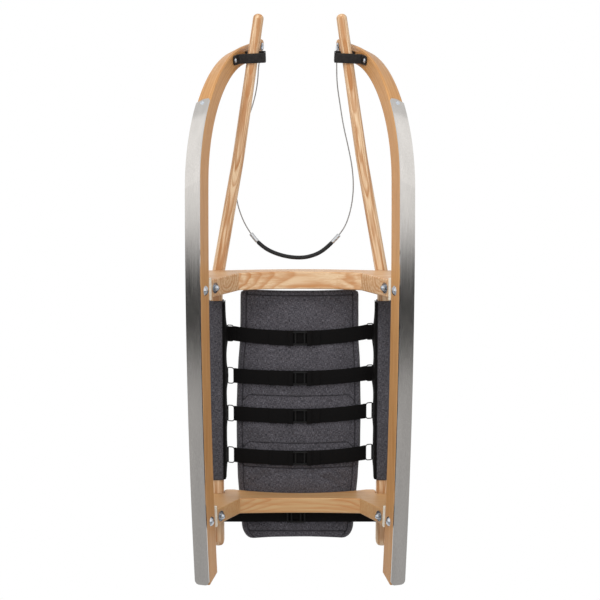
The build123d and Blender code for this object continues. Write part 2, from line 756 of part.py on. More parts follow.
def top_screw_hole(y):
    point, up = top_screw_place(y)
    length = STRINGER_HEIGHT + TOP_SCREW_GRIP
    lowered = point - up * TOP_SCREW_RECESS
    return screw_hole(lowered, up, TOP_SCREW_HEAD_DIAMETER, TOP_SCREW_SHANK_DIAMETER, length)


def top_screw(y):
    point, up = top_screw_place(y)
    length = STRINGER_HEIGHT + TOP_SCREW_GRIP
    return wood_screw(
        point, up, TOP_SCREW_HEAD_DIAMETER, TOP_SCREW_SHANK_DIAMETER, length, TOP_SCREW_RECESS + BOLT_GAP
    )


def finish_bridge(bridge, leg, y):
    """Trim the feet, and drill for the two leg bolts and the two stringer screws."""
    foot = foot_cutter(y)
    hole = bolt_hole(leg.bolt_point, leg.normal, leg.bolt_grip)
    screw = top_screw_hole(y)
    for cutter in (foot, hole, screw):
        bridge -= cutter
        bridge -= mirrored(cutter)
    return bridge


front_leg = Leg(FRONT_BRIDGE_Y, front_crease_z)
rear_leg = Leg(REAR_BRIDGE_Y, rear_crease_z)
front_bridge = finish_bridge(front_bridge, front_leg, FRONT_BRIDGE_Y)
rear_bridge = finish_bridge(rear_bridge, rear_leg, REAR_BRIDGE_Y)
top_screws = []
for _, bridge_y in bridge_places:
    stringer -= top_screw_hole(bridge_y)
    top_screws.append(top_screw(bridge_y))

# The leather loop runs up the horn's inner side, under the stringer, back over it and up again.
loop_across = RUNNER_WIDTH / 2 + SEAT_GAP + LOOP_THICKNESS / 2


def on_horn(z):
    """The loop's middle line on the horn's inner side, at height z."""
    low = canted(loop_across, 0)
    return low + climb * ((z - low.Z) / climb.Z)


def stringer_x(y):
    """The stringer's middle ahead of its second bend."""
    share = (STRINGER_SECOND_Y - y) / (STRINGER_SECOND_Y - STRINGER_TIP_Y)
    return -STRINGER_SECOND_X + (STRINGER_SECOND_X - STRINGER_TIP_X) * share


loop_bar_width, loop_bar_height = stringer_size(LOOP_Y)
loop_tilt = LOOP_WIDTH / 2 * LOOP_LEAN
loop_clearance = loop_bar_height / 2 + loop_tilt + 2 * SEAT_GAP + LOOP_THICKNESS / 2
under_z = stringer_middle(LOOP_Y) - loop_clearance
over_z = stringer_middle(LOOP_Y) + loop_clearance
low_turn = on_horn(under_z)
high_turn = on_horn(over_z)
loop_inner_x = stringer_x(LOOP_Y) + loop_bar_width / 2 + LOOP_INNER_REACH + LOOP_THICKNESS / 2
flat_loop = [
    low_turn - climb * LOOP_LOW_TAB,
    low_turn,
    Vector(loop_inner_x, 0, under_z),
    Vector(loop_inner_x, 0, over_z),
    high_turn,
    high_turn + climb * LOOP_HIGH_TAB,
]
loop_middle = Vector(stringer_x(LOOP_Y), 0, stringer_middle(LOOP_Y))
loop_points = [
    p + Vector(0, LOOP_Y - LOOP_LEAN * (p - loop_middle).dot(climb), 0) for p in flat_loop
]
loop_path = FilletPolyline(loop_points, radius=LOOP_BEND_RADIUS)
loop_normal = (climb - Vector(0, LOOP_LEAN, 0)).cross(inward).normalized()
loop_start = Plane(origin=loop_path @ 0, x_dir=loop_normal, z_dir=loop_path % 0)
leather_loop = sweep(loop_start * Rectangle(LOOP_WIDTH, LOOP_THICKNESS), path=loop_path)

loop_screws = []
loop_screw_places = (
    loop_points[0] + (loop_points[1] - loop_points[0]).normalized() * LOOP_SCREW_INSET,
    loop_points[-1] + (loop_points[-2] - loop_points[-1]).normalized() * LOOP_SCREW_INSET,
)
for place in loop_screw_places:
    seat = place + inward * (LOOP_THICKNESS / 2)
    head = Plane(origin=seat, z_dir=inward) * cap(LOOP_SCREW_HEAD_DIAMETER, LOOP_SCREW_HEAD_HEIGHT)
    body = Plane(origin=seat, z_dir=inward * -1)
    shank = body * Pos(0, 0, SCREW_LENGTH / 2) * Cylinder(SCREW_SHANK_DIAMETER / 2, SCREW_LENGTH)
    room = Cylinder(SCREW_SHANK_DIAMETER / 2 + BOLT_GAP, SCREW_LENGTH + 2 * BOLT_GAP)
    hole = body * Pos(0, 0, SCREW_LENGTH / 2) * room
    loop_screws.append(head + shank)
    leather_loop -= hole
    runner -= hole

# A small lug on each horn's inner side, near its tip, holds the cable's end in its barrel.
inner_start = HORN_START_Y - HORN_SKEW
horn_top = horn_point(inner_start, outer_radius, wood_depth, horn_end)
tip_back = HORN_TOP_STRAIGHT - LUG_SETBACK
lug_y = horn_top[0] - tip_back * cos(horn_end) + HORN_TIP_THICKNESS / 2
lug_seat = canted(RUNNER_WIDTH / 2 + SEAT_GAP, horn_top[1] + tip_back * sin(horn_end), lug_y)
stem_room = SCREW_LENGTH + 2 * BOLT_GAP
stem_hole = Cylinder(SCREW_SHANK_DIAMETER / 2 + BOLT_GAP, stem_room)
runner -= Plane(origin=lug_seat, z_dir=inward) * Pos(0, 0, -stem_room / 2) * stem_hole


def cable_lug(turn_share, lean):
    """A lug on the left horn: a screwed tongue with a barrel, which leans off the wood by `lean`.

    Its tongue points this share along the sled, and down the cant otherwise.
    """
    ahead = Vector(0, turn_share, 0) - climb * sqrt(1 - turn_share**2)
    plane = Plane(origin=lug_seat, x_dir=ahead, z_dir=inward)
    tongue = Pos((LUG_LENGTH - LUG_WIDTH) / 2, 0, 0) * SlotOverall(LUG_LENGTH, LUG_WIDTH)
    lug = extrude(tongue, LUG_THICKNESS)
    height = LUG_THICKNESS + BARREL_DIAMETER / 2 - SEAT_GAP
    mouth = Pos(LUG_HEAD_DIAMETER / 2 + SEAT_GAP, 0, height) * Rot(0, 90 - lean, 0)
    bore = (CABLE_DIAMETER + 2 * HOSE_BORE_GAP) / 2
    barrel = Cylinder(BARREL_DIAMETER / 2, BARREL_LENGTH) - Cylinder(bore, BARREL_LENGTH)
    lug += mouth * Pos(0, 0, BARREL_LENGTH / 2) * barrel
    lug += Pos(0, 0, LUG_THICKNESS) * cap(LUG_HEAD_DIAMETER, LUG_HEAD_HEIGHT)
    stem = LUG_THICKNESS + SCREW_LENGTH
    lug += Pos(0, 0, LUG_THICKNESS - stem / 2) * Cylinder(SCREW_SHANK_DIAMETER / 2, stem)
    entry = plane * mouth * Pos(0, 0, CABLE_INSET)
    print("cable enters the lug at", entry.position, "along", Plane(entry).z_dir)
    return plane * lug


# The cable is straight runs joined by arcs as large as the runs allow.
cable_points = [Vector(*p) for p in CABLE_ROUTE]
ARC_SHARE = 0.45


def corner_radius(before, corner, after):
    """The largest arc at a corner, ARC_SHARE of its shorter run over the tangent of half the turn."""
    arriving = corner - before
    leaving = after - corner
    turn = radians(arriving.get_angle(leaving))
    return ARC_SHARE * min(arriving.length, leaving.length) / tan(turn / 2)


def route(points):
    """The points' smooth line, and its corner radii."""
    radii = [corner_radius(*points[i : i + 3]) for i in range(len(points) - 2)]
    return FilletPolyline(points, radius=radii), radii


cable_path, cable_radii = route(cable_points)
print("cable radii", [round(r) for r in cable_radii], "length", round(cable_path.length, 1))


def tube(path, outer, bore=0):
    """A round tube along a path, with a bore if it has one."""
    start = Plane(origin=path @ 0, z_dir=path % 0)
    section = Circle(outer / 2) - Circle(bore / 2) if bore else Circle(outer / 2)
    return sweep(start * section, path=path)


pull_cable = tube(cable_path, CABLE_DIAMETER)
print("cable volume over section", round(pull_cable.volume / (CABLE_DIAMETER**2 / 4 * pi), 1))

bore = CABLE_DIAMETER + 2 * HOSE_BORE_GAP


def middle_of_run(run):
    """How far along the cable the middle of one run lies, in mm."""
    middle = (cable_points[run] + cable_points[run + 1]) * 0.5
    return cable_path.param_at_point(middle) * cable_path.length


def on_cable(start, end, outer):
    """A round sleeve on the cable between two distances along it."""
    part = cable_path.trim(start / cable_path.length, end / cable_path.length)
    return tube(part, outer, bore)


left_middle = middle_of_run(LEFT_FERRULE_RUN)
right_middle = middle_of_run(RIGHT_FERRULE_RUN)
half_ferrule = FERRULE_LENGTH / 2
left_ferrule = on_cable(left_middle - half_ferrule, left_middle + half_ferrule, FERRULE_DIAMETER)
right_ferrule = on_cable(right_middle - half_ferrule, right_middle + half_ferrule, FERRULE_DIAMETER)
hose_inset = half_ferrule + SEAT_GAP
hose_grip = on_cable(left_middle + hose_inset, right_middle - hose_inset, HOSE_DIAMETER)

# The sleeve is a sewn tube round the stringer, with a tape along its inner side.
def seat_frame(x, y, drop=0):
    """A plane across the sled at y that leans with the seat, `drop` under the stringers' tops."""
    z = stringer_bottom(y) + STRINGER_HEIGHT - drop
    return Plane(origin=(x, y, z), x_dir=(1, 0, 0), z_dir=(0, -1, -seat_slope))


def ring_section(width, height, corner, wall):
    """A rounded rectangular ring outside the given opening."""
    outer = RectangleRounded(width + 2 * wall, height + 2 * wall, corner + wall)
    return outer - RectangleRounded(width, height, corner)


sleeve_length = (SLEEVE_REAR_Y - SLEEVE_FRONT_Y) * slope_length
sleeve_plane = seat_frame(-STRINGER_X, SLEEVE_REAR_Y, STRINGER_HEIGHT / 2)
sleeve_opening = (STRINGER_WIDTH + 2 * SEAT_GAP, STRINGER_HEIGHT + 2 * SEAT_GAP, STRINGER_CORNER + SEAT_GAP)
sleeve = extrude(sleeve_plane * ring_section(*sleeve_opening, SLEEVE_WALL), sleeve_length)
sleeve_inner_x = -STRINGER_X + STRINGER_WIDTH / 2 + SEAT_GAP + SLEEVE_WALL
tape_outer_x = sleeve_inner_x + SEAT_GAP + TAPE_THICKNESS
tape_plane = seat_frame(-STRINGER_X, SLEEVE_REAR_Y - TAPE_END_INSET, STRINGER_HEIGHT / 2)
tape_length = sleeve_length - 2 * TAPE_END_INSET
tape_opening = [size + 2 * (SEAT_GAP + SLEEVE_WALL) for size in sleeve_opening[:2]]
tape_corner = sleeve_opening[2] + SEAT_GAP + SLEEVE_WALL
tape_keep_x = tape_outer_x + STRINGER_X - TAPE_WIDTH + STRINGER_WIDTH / 2
tape_keep_height = STRINGER_HEIGHT - TAPE_DROP + OVERRUN
tape_keep_z = (tape_keep_height - STRINGER_HEIGHT) / 2 - OVERRUN
tape_keep = Pos(tape_keep_x, tape_keep_z) * Rectangle(STRINGER_WIDTH, tape_keep_height)
tape_section = ring_section(*tape_opening, tape_corner, TAPE_THICKNESS) & tape_keep
sleeve_tape = extrude(tape_plane * tape_section, tape_length)

# The mat is a quilted pad that lies in the rear bridge's dip and on the straps.
mat_bottom_radius = dip_radius - MAT_GAP
mat_top_radius = mat_bottom_radius - MAT_THICKNESS


def trough(inner_radius, outer_radius, y_start, y_end):
    """A curved slab between two arcs round the dip's centre, leaning with the seat."""
    z = dip_centre_z + seat_slope * (y_end - REAR_BRIDGE_Y)
    plane = Plane(origin=(0, y_end, z), x_dir=(1, 0, 0), z_dir=(0, -1, -seat_slope))
    ring = Circle(outer_radius) - Circle(inner_radius)
    lower_half = Pos(0, outer_radius, 0) * Rectangle(4 * outer_radius, 2 * outer_radius)
    return extrude(plane * (ring - lower_half), (y_end - y_start) * slope_length)


def mat_outline():
    """The mat's outline from above, wider at the hips and rounded at the tail."""
    half = [
        (MAT_FRONT_HALF_WIDTH, MAT_FRONT_Y),
        (MAT_WAIST_HALF_WIDTH, MAT_WAIST_Y),
        (MAT_HIP_HALF_WIDTH, MAT_HIP_Y),
        (MAT_TAIL_HALF_WIDTH, MAT_REAR_Y),
    ]
    points = half + [(-x, y) for x, y in reversed(half)]
    face = make_face(Polyline(*points, close=True))
    by_y = face.vertices().sort_by(Axis.Y)
    face = fillet(by_y[-2:], MAT_TAIL_CORNER)
    return fillet(face.vertices().sort_by(Axis.Y)[:2], MAT_FRONT_CORNER)


mat_slab = trough(mat_top_radius, mat_bottom_radius, MAT_FRONT_Y - OVERRUN, MAT_REAR_Y + OVERRUN)
mat_height = SEAT_REAR_Z + REAR_SHOULDER_RISE + STRINGER_HEIGHT
seat_mat = mat_slab & extrude(mat_outline(), mat_height)

# Straps hang between the sleeves, each with a ring at both ends and a buckle in the middle.
strap_top_radius = (STRAP_HALF_SPAN**2 + STRAP_SAG**2) / (2 * STRAP_SAG)


def strap_frame(y):
    """The plane at a strap's rear edge, with its origin at the middle of the strap's upper side."""
    z = dip_low_z + MAT_GAP - SEAT_GAP + seat_slope * (y - REAR_BRIDGE_Y)
    return Plane(origin=(0, y, z), x_dir=(1, 0, 0), z_dir=(0, -1, -seat_slope))


def strap(y):
    """A hanging band, an arc from ring to ring."""
    end_angle = asin(STRAP_HALF_SPAN / strap_top_radius)
    lower_radius = strap_top_radius + STRAP_THICKNESS

    def arc_point(radius, angle):
        return (radius * sin(angle), strap_top_radius - radius * cos(angle))

    arcs = [
        ThreePointArc(*[arc_point(radius, a) for a in (-end_angle, 0, end_angle)])
        for radius in (strap_top_radius, lower_radius)
    ]
    ends = [Line(arcs[0] @ side, arcs[1] @ side) for side in (0, 1)]
    return extrude(strap_frame(y + STRAP_WIDTH / 2) * make_face(Wire([*arcs, *ends])), STRAP_WIDTH)


def slide_buckle(plane):
    """A flat ladder slide under the strap: four bars, two slots, and a window between them."""
    plate = RectangleRounded(BUCKLE_LENGTH, BUCKLE_WIDTH, BUCKLE_CORNER)
    slot_x = BUCKLE_LENGTH / 2 - BUCKLE_FRAME - BUCKLE_SLOT / 2
    slot = Rectangle(BUCKLE_SLOT, BUCKLE_WIDTH - 2 * BUCKLE_FRAME)
    window = BUCKLE_LENGTH - 2 * (2 * BUCKLE_FRAME + BUCKLE_SLOT)
    plate -= Pos(slot_x, 0) * slot
    plate -= Pos(-slot_x, 0) * slot
    plate -= Rectangle(window, BUCKLE_WIDTH - 2 * BUCKLE_FRAME)
    body = extrude(plate, -BUCKLE_THICKNESS)
    return plane * fillet(body.faces().sort_by(Axis.Z)[0].edges(), BUCKLE_EDGE_ROUND)


def level_plane(x, y, z):
    """A plane that leans with the seat only, its own z upward."""
    return Plane(origin=(x, y, z), x_dir=(1, 0, 0), z_dir=(0, -seat_slope, 1))


def strap_buckle(y):
    top = strap_frame(y).origin.Z - STRAP_THICKNESS - SEAT_GAP
    return slide_buckle(level_plane(0, y, top))


def strap_ring(y):
    """A flat ring between the tape's edge and the strap's end, in line with the strap there."""
    end_angle = asin(STRAP_HALF_SPAN / strap_top_radius)
    middle_radius = strap_top_radius + STRAP_THICKNESS / 2
    end_x = -middle_radius * sin(end_angle)
    end_z = strap_frame(y).origin.Z + strap_top_radius - middle_radius * cos(end_angle)
    tape_edge = tape_outer_x + RING_TAPE_GAP
    reach = (end_x - tape_edge) / cos(end_angle) - SEAT_GAP
    along = Vector(-cos(end_angle), 0, sin(end_angle))
    centre = Vector(end_x, y, end_z) + along * (SEAT_GAP + reach / 2)
    plane = Plane(origin=centre, x_dir=along, z_dir=(sin(end_angle), 0, cos(end_angle)))
    outer = RectangleRounded(reach, STRAP_WIDTH + 2 * RING_WIRE, RING_CORNER)
    inner = RectangleRounded(reach - 2 * RING_WIRE, STRAP_WIDTH, RING_CORNER / 2)
    return plane * Pos(0, 0, -RING_WIRE / 2) * extrude(outer - inner, RING_WIRE)


rear_strap_y = REAR_BRIDGE_Y + REAR_BRIDGE_DEPTH / 2 + REAR_STRAP_SETBACK + REAR_STRAP_WIDTH
rear_strap_plane = seat_frame(0, rear_strap_y, STRINGER_HEIGHT / 2)
wrap = ring_section(*sleeve_opening, STRAP_THICKNESS)
band_drop = STRINGER_HEIGHT / 2 + SEAT_GAP + STRAP_THICKNESS / 2
band = Pos(0, -band_drop) * Rectangle(2 * STRINGER_X, STRAP_THICKNESS)
rear_section = band + Pos(-STRINGER_X, 0) * wrap + Pos(STRINGER_X, 0) * wrap
rear_strap = extrude(rear_strap_plane * rear_section, REAR_STRAP_WIDTH)
rear_band_y = rear_strap_y - REAR_STRAP_WIDTH / 2
rear_band_z = stringer_bottom(rear_band_y) - 2 * SEAT_GAP - STRAP_THICKNESS
rear_buckle = slide_buckle(level_plane(REAR_BUCKLE_X, rear_band_y, rear_band_z))

for name, solid in (
    ("runner", runner),
    ("rail", rail),
    ("stringer", stringer),
    ("leather_loop", leather_loop),
    ("sleeve", sleeve),
    ("sleeve_tape", sleeve_tape),
):
    write_pair(name, solid)


def write_both(name, *solids):
    """Write one node with the -X solids and their mirror images."""
    write(name, *solids, *[mirrored(solid) for solid in solids])


write_both("rail_screws", rail_screw)
write_both("loop_screws", *loop_screws)
write_both("stringer_screws", *top_screws)
for name, leg in (("front", front_leg), ("rear", rear_leg)):
    write_both(f"{name}_leg_pads", leg_pad(leg.y))
    write_both(f"{name}_link_plates", leg.link_plate())
    write_both(f"{name}_leg_bolts", leg.leg_bolt())
    write_both(f"{name}_runner_bolts", leg.runner_bolt())
write("cable_anchor_left", cable_lug(LEFT_LUG_TURN_SHARE, 0))
write("cable_anchor_right", mirrored(cable_lug(RIGHT_LUG_TURN_SHARE, RIGHT_LUG_LEAN)))
write("front_bridge", front_bridge)
write("rear_bridge", rear_bridge)
write("seat_mat", seat_mat)
for number, strap_y in enumerate(STRAP_Y, 1):
    write(f"seat_strap_{number}", strap(strap_y))
    write(f"strap_buckle_{number}", strap_buckle(strap_y))
write("seat_strap_rear", rear_strap)
write("strap_buckle_rear", rear_buckle)
write("strap_rings_left", *[strap_ring(y) for y in STRAP_Y])
write("strap_rings_right", *[mirrored(strap_ring(y)) for y in STRAP_Y])
write("pull_cable", pull_cable)
write("hose_grip", hose_grip)
write("ferrule_left", left_ferrule)
write("ferrule_right", right_ferrule)
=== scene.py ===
# A wooden touring luge, as it stands on its runners, put together from the ground up: steel rails
# under bent ash runners, two carved bridges bolted to them, two stringers along the top, and the
# soft seat between the stringers. Everything is in metres, +Z up, with the horns towards -Y.
import math

import bpy
import numpy as np
from mathutils import Matrix, Vector


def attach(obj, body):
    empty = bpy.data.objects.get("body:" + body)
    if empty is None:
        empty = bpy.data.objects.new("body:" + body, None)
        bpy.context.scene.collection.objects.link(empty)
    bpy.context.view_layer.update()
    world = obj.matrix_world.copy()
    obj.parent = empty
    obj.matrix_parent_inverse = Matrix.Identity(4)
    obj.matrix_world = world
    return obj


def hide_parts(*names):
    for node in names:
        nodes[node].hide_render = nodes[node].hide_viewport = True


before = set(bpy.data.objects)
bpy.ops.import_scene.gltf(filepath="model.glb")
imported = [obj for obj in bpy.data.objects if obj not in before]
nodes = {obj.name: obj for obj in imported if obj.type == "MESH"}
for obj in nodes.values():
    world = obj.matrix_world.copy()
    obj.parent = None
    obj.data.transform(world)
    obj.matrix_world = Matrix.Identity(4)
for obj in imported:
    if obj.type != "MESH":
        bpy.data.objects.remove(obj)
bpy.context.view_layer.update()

# The runners: each is one ash bar, steamed and bent up at the front into a horn, and canted so
# that its underside faces outwards. They are sanded and varnished.


def fill(tree, node, inputs):
    """Gives a node's inputs, by name or place, a value or a link each."""
    for key, value in inputs.items():
        if isinstance(value, bpy.types.NodeSocket):
            tree.links.new(value, node.inputs[key])
        else:
            node.inputs[key].default_value = value


def add(tree, kind, inputs=None, **settings):
    """One shader node, with its settings and its inputs."""
    node = tree.nodes.new("ShaderNode" + kind)
    for key, value in settings.items():
        setattr(node, key, value)
    fill(tree, node, inputs or {})
    return node


def calc(tree, operation, *values):
    """The output of one Math node on up to three numbers or sockets."""
    return add(tree, "Math", dict(enumerate(values)), operation=operation).outputs[0]


def vector_calc(tree, operation, *values):
    """The output of one Vector Math node: a vector, or a number where the result is one."""
    node = add(tree, "VectorMath", dict(enumerate(values)), operation=operation)
    return node.outputs["Value" if operation in ("LENGTH", "DOT_PRODUCT") else "Vector"]


def joined(tree, x, y, z):
    """The vector (x, y, z)."""
    return add(tree, "CombineXYZ", {"X": x, "Y": y, "Z": z}).outputs[0]


def apart(tree, vector):
    """The x, y and z of a vector."""
    return tuple(add(tree, "SeparateXYZ", {0: vector}).outputs)


def place_on(tree):
    """The surface point, in the frame that all pieces share."""
    return add(tree, "TexCoord").outputs["Object"]


def noise(tree, vector, scale, detail, output=0):
    """Noise read at a vector, with one scale for all axes or one for each."""
    if isinstance(scale, tuple):
        vector, scale = vector_calc(tree, "MULTIPLY", vector, scale), 1.0
    inputs = {"Vector": vector, "Scale": scale, "Detail": detail}
    return add(tree, "TexNoise", inputs).outputs[output]


def ramp(tree, value, *stops):
    """A colour ramp through (position, colour) stops, read at a value from 0 to 1."""
    node = add(tree, "ValToRGB", {"Fac": value})
    elements = node.color_ramp.elements
    while len(elements) < len(stops):
        elements.new(0.5)
    for element, (position, colour) in zip(elements, stops):
        element.position = position
        element.color = (*colour, 1) if hasattr(colour, "__len__") else (colour, colour, colour, 1)
    return node.outputs["Color"]


def mixed(tree, share, first, second, blend="MIX"):
    """Two colours mixed by a share, which may be a number or a socket."""
    node = add(tree, "Mix", {"Factor": share}, data_type="RGBA", blend_type=blend)
    for socket, value in ((node.inputs[6], first), (node.inputs[7], second)):
        if isinstance(value, bpy.types.NodeSocket):
            tree.links.new(value, socket)
        else:
            socket.default_value = (*value, 1)
    return node.outputs[2]


def finish_named(name):
    """A new material with its node tree and its shader."""
    material = bpy.data.materials.new(name)
    material.use_nodes = True
    tree = material.node_tree
    return material, tree, tree.nodes["Principled BSDF"]


def bumped(tree, shader, height, depth):
    """The height, from 0 to 1, raised by a depth in metres and joined to the shader."""
    bump = add(tree, "Bump", {"Height": height, "Strength": 1.0, "Distance": depth})
    tree.links.new(bump.outputs["Normal"], shader.inputs["Normal"])


def varnished_ash(tree, shader, grain, heart, spacing, tilt, sway_by, streaky, pale, ring, fibre):
    """Ash in three dimensions. `grain` is (across, along, layer) in metres. The rings lie round a
    heart line beside the bar, which leans from the bar by `tilt` and sways: ring phase = distance
    from the heart / spacing + slow noise, and its fraction climbs through the pale wood to a brown
    edge, which differs from year to year. Streaks, fibres and open pores are noise stretched along
    the grain."""
    sway = noise(tree, grain, (11, 7, 11), 2.0, output="Color")
    swayed = vector_calc(tree, "MULTIPLY_ADD", sway, (sway_by, sway_by, sway_by), grain)
    x, y, z = apart(tree, vector_calc(tree, "SUBTRACT", swayed, heart))
    leaned = calc(tree, "MULTIPLY_ADD", y, tilt, z)
    distance = vector_calc(tree, "LENGTH", joined(tree, x, leaned, 0.0))
    wander = noise(tree, grain, (70, 9, 70), 4.0)
    phase = calc(tree, "MULTIPLY_ADD", wander, 0.75, calc(tree, "DIVIDE", distance, spacing))
    growth = calc(tree, "FRACT", phase)
    rings = ramp(tree, growth, (0, 0.2), (0.1, 0.0), (0.44, 0.10), (0.68, 0.62), (0.90, 1.0), (1.0, 0.2))
    year = calc(tree, "FLOOR", phase)
    each_year = add(tree, "TexWhiteNoise", {"W": year}, noise_dimensions="1D").outputs["Value"]
    strength = calc(tree, "MULTIPLY_ADD", each_year, 0.6, 0.4)
    threads = noise(tree, grain, (900, 14, 900), 4.0)
    dashes = ramp(tree, noise(tree, grain, (2200, 70, 2200), 1.0), (0.60, 0.0), (0.70, 1.0))
    early = ramp(tree, growth, (0.0, 0.5), (0.35, 0.1), (0.8, 0.5), (1.0, 1.0))
    cloud = noise(tree, grain, (14, 2.2, 14), 2.0)
    streaks = ramp(tree, noise(tree, grain, (190, 7, 190), 4.0), (0.44, 0.0), (0.62, streaky))
    colour = mixed(tree, calc(tree, "MULTIPLY", rings, strength), pale, ring)
    colour = mixed(tree, streaks, colour, ring)
    colour = mixed(tree, ramp(tree, threads, (0.44, 0.0), (0.74, 0.42)), colour, fibre)
    in_pores = calc(tree, "MULTIPLY", calc(tree, "MULTIPLY", dashes, early), 0.5)
    colour = mixed(tree, in_pores, colour, fibre)
    tone = ramp(tree, cloud, (0.3, (0.90, 0.87, 0.84)), (0.7, (1.0, 1.0, 1.0)))
    look = {
        "Base Color": mixed(tree, 1.0, colour, tone, "MULTIPLY"),
        "Roughness": ramp(tree, threads, (0.3, 0.40), (0.7, 0.52)),
        "Specular IOR Level": 0.45,
        "Coat Weight": 0.12,
        "Coat Roughness": 0.28,
    }
    fill(tree, shader, look)
    height = calc(tree, "SUBTRACT", threads, calc(tree, "MULTIPLY", dashes, 0.4))
    bumped(tree, shader, height, depth=0.00012)


def along_bent_runner(tree):
    """(across, along, layer) in a runner. Both come from |x|, so the runners mirror each other:
    across = -|x| cos 20 - z sin 20, height = -|x| sin 20 + z cos 20. The layer is the height, less
    the rocker's rise at the horn, or in the horn its bend's radius less the distance from the
    bend's centre. Along is y, then the arc's length, then the straight tip's."""
    cant, radius, sweep = math.radians(20), 0.262, 1.4312
    bend_start, bend_slant, rocker_rise = 0.2272, 0.5, 0.0018
    x, y, z = apart(tree, place_on(tree))
    out = calc(tree, "ABSOLUTE", x)

    def canted(of_x, of_z, shift):
        """|x| * of_x + z * of_z + shift."""
        slant = calc(tree, "MULTIPLY", out, of_x)
        return calc(tree, "ADD", calc(tree, "MULTIPLY_ADD", z, of_z, slant), shift)

    height = canted(-math.sin(cant), math.cos(cant), 0.0643)
    across = canted(-math.cos(cant), -math.sin(cant), 0.1917)
    ahead = calc(tree, "ADD", calc(tree, "MULTIPLY_ADD", across, bend_slant, y), bend_start)
    forward = calc(tree, "MULTIPLY", calc(tree, "MINIMUM", ahead, 0.0), -1.0)
    below = calc(tree, "SUBTRACT", radius + rocker_rise, height)
    from_centre = joined(tree, forward, below, 0.0)
    beyond = vector_calc(tree, "DOT_PRODUCT", from_centre, (math.cos(sweep), -math.sin(sweep), 0.0))
    outward = vector_calc(tree, "DOT_PRODUCT", from_centre, (math.sin(sweep), math.cos(sweep), 0.0))
    in_tip = calc(tree, "GREATER_THAN", beyond, 0.0)
    in_bend = vector_calc(tree, "LENGTH", from_centre)
    reach = add(tree, "Mix", {"Factor": in_tip, 2: in_bend, 3: outward}).outputs[0]
    layer = calc(tree, "SUBTRACT", radius, reach)
    turn = calc(tree, "MINIMUM", calc(tree, "ARCTAN2", forward, below), sweep)
    along = calc(tree, "MULTIPLY_ADD", turn, -radius, calc(tree, "MAXIMUM", ahead, 0.0))
    along = calc(tree, "SUBTRACT", along, calc(tree, "MAXIMUM", beyond, 0.0))
    return joined(tree, across, along, layer)


runner_ash, tree, shader = finish_named("bent_ash")
varnished_ash(
    tree,
    shader,
    along_bent_runner(tree),
    heart=(0.060, 0.0, 0.075),
    spacing=0.0042,
    tilt=0.0,
    sway_by=0.006,
    streaky=0.5,
    pale=(0.545, 0.300, 0.118),
    ring=(0.410, 0.185, 0.054),
    fibre=(0.320, 0.135, 0.038),
)


def wear(name, material):
    """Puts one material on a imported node."""
    nodes[name].data.materials.clear()
    nodes[name].data.materials.append(material)


for side in ("left", "right"):
    wear(f"runner_{side}", runner_ash)

# The rails: flat stainless strip bent to the runners' undersides, with a rounded nose that one
# countersunk screw holds. Use has drawn fine scratches along them.
rail_steel, tree, shader = finish_named("drawn_steel")
lines = noise(tree, place_on(tree), (2600, 5, 2600), 3.0)
patches = noise(tree, place_on(tree), (60, 9, 60), 3.0)
steel = ramp(tree, lines, (0.3, (0.55, 0.525, 0.50)), (0.7, (0.68, 0.655, 0.625)))
dulled = ramp(tree, patches, (0.35, 0.93), (0.65, 1.0))
steel = mixed(tree, 1.0, steel, dulled, "MULTIPLY")
brushed = ramp(tree, lines, (0.3, 0.10), (0.7, 0.16))
fill(tree, shader, {"Base Color": steel, "Metallic": 1.0, "Roughness": brushed})
bumped(tree, shader, lines, depth=0.000014)
for side in ("left", "right"):
    wear(f"rail_{side}", rail_steel)

# Screws, bolts, cap nuts, washers and link plates: pressed steel with bright zinc on it. The lugs
# that hold the cable's ends on the horns are the same.


def speckled(name, scale, detail, colours, roughness, depth, stops=(0.3, 0.7), plain=None):
    """A material made from one noise: a colour or grey at each of the two stops, a roughness at 0.3
    and at 0.7, and a bump `depth` metres high. `plain` holds the inputs that are the same all over."""
    material, tree, shader = finish_named(name)
    speck = noise(tree, place_on(tree), scale, detail)
    look = {
        "Base Color": ramp(tree, speck, *zip(stops, colours)),
        "Roughness": ramp(tree, speck, *zip((0.3, 0.7), roughness)),
    }
    fill(tree, shader, look | (plain or {}))
    bumped(tree, shader, speck, depth)
    return material


zinc = speckled(
    "bright_zinc",
    scale=420.0,
    detail=2.0,
    colours=((0.42, 0.46, 0.51), (0.60, 0.64, 0.69)),
    roughness=(0.14, 0.22),
    depth=0.00003,
    stops=(0.35, 0.65),
    plain={"Metallic": 1.0},
)
for name in nodes:
    if name.endswith(("_screws", "_bolts", "_plates")) or name.startswith("cable_anchor"):
        wear(name, zinc)

# Pads of pale hard rubber between each leg's foot and its runner. The bolts clamp them in the
# joint, so that only their edges show.
pad_rubber, tree, shader = finish_named("pale_pad")
dust = noise(tree, place_on(tree), 300.0, 3.0)
pad_tone = ramp(tree, dust, (0.3, (0.66, 0.62, 0.52)), (0.7, (0.78, 0.75, 0.66)))
fill(tree, shader, {"Base Color": pad_tone, "Roughness": 0.6})
bumped(tree, shader, dust, depth=0.00005)
for name in ("front_leg_pads", "rear_leg_pads"):
    wear(name, pad_rubber)

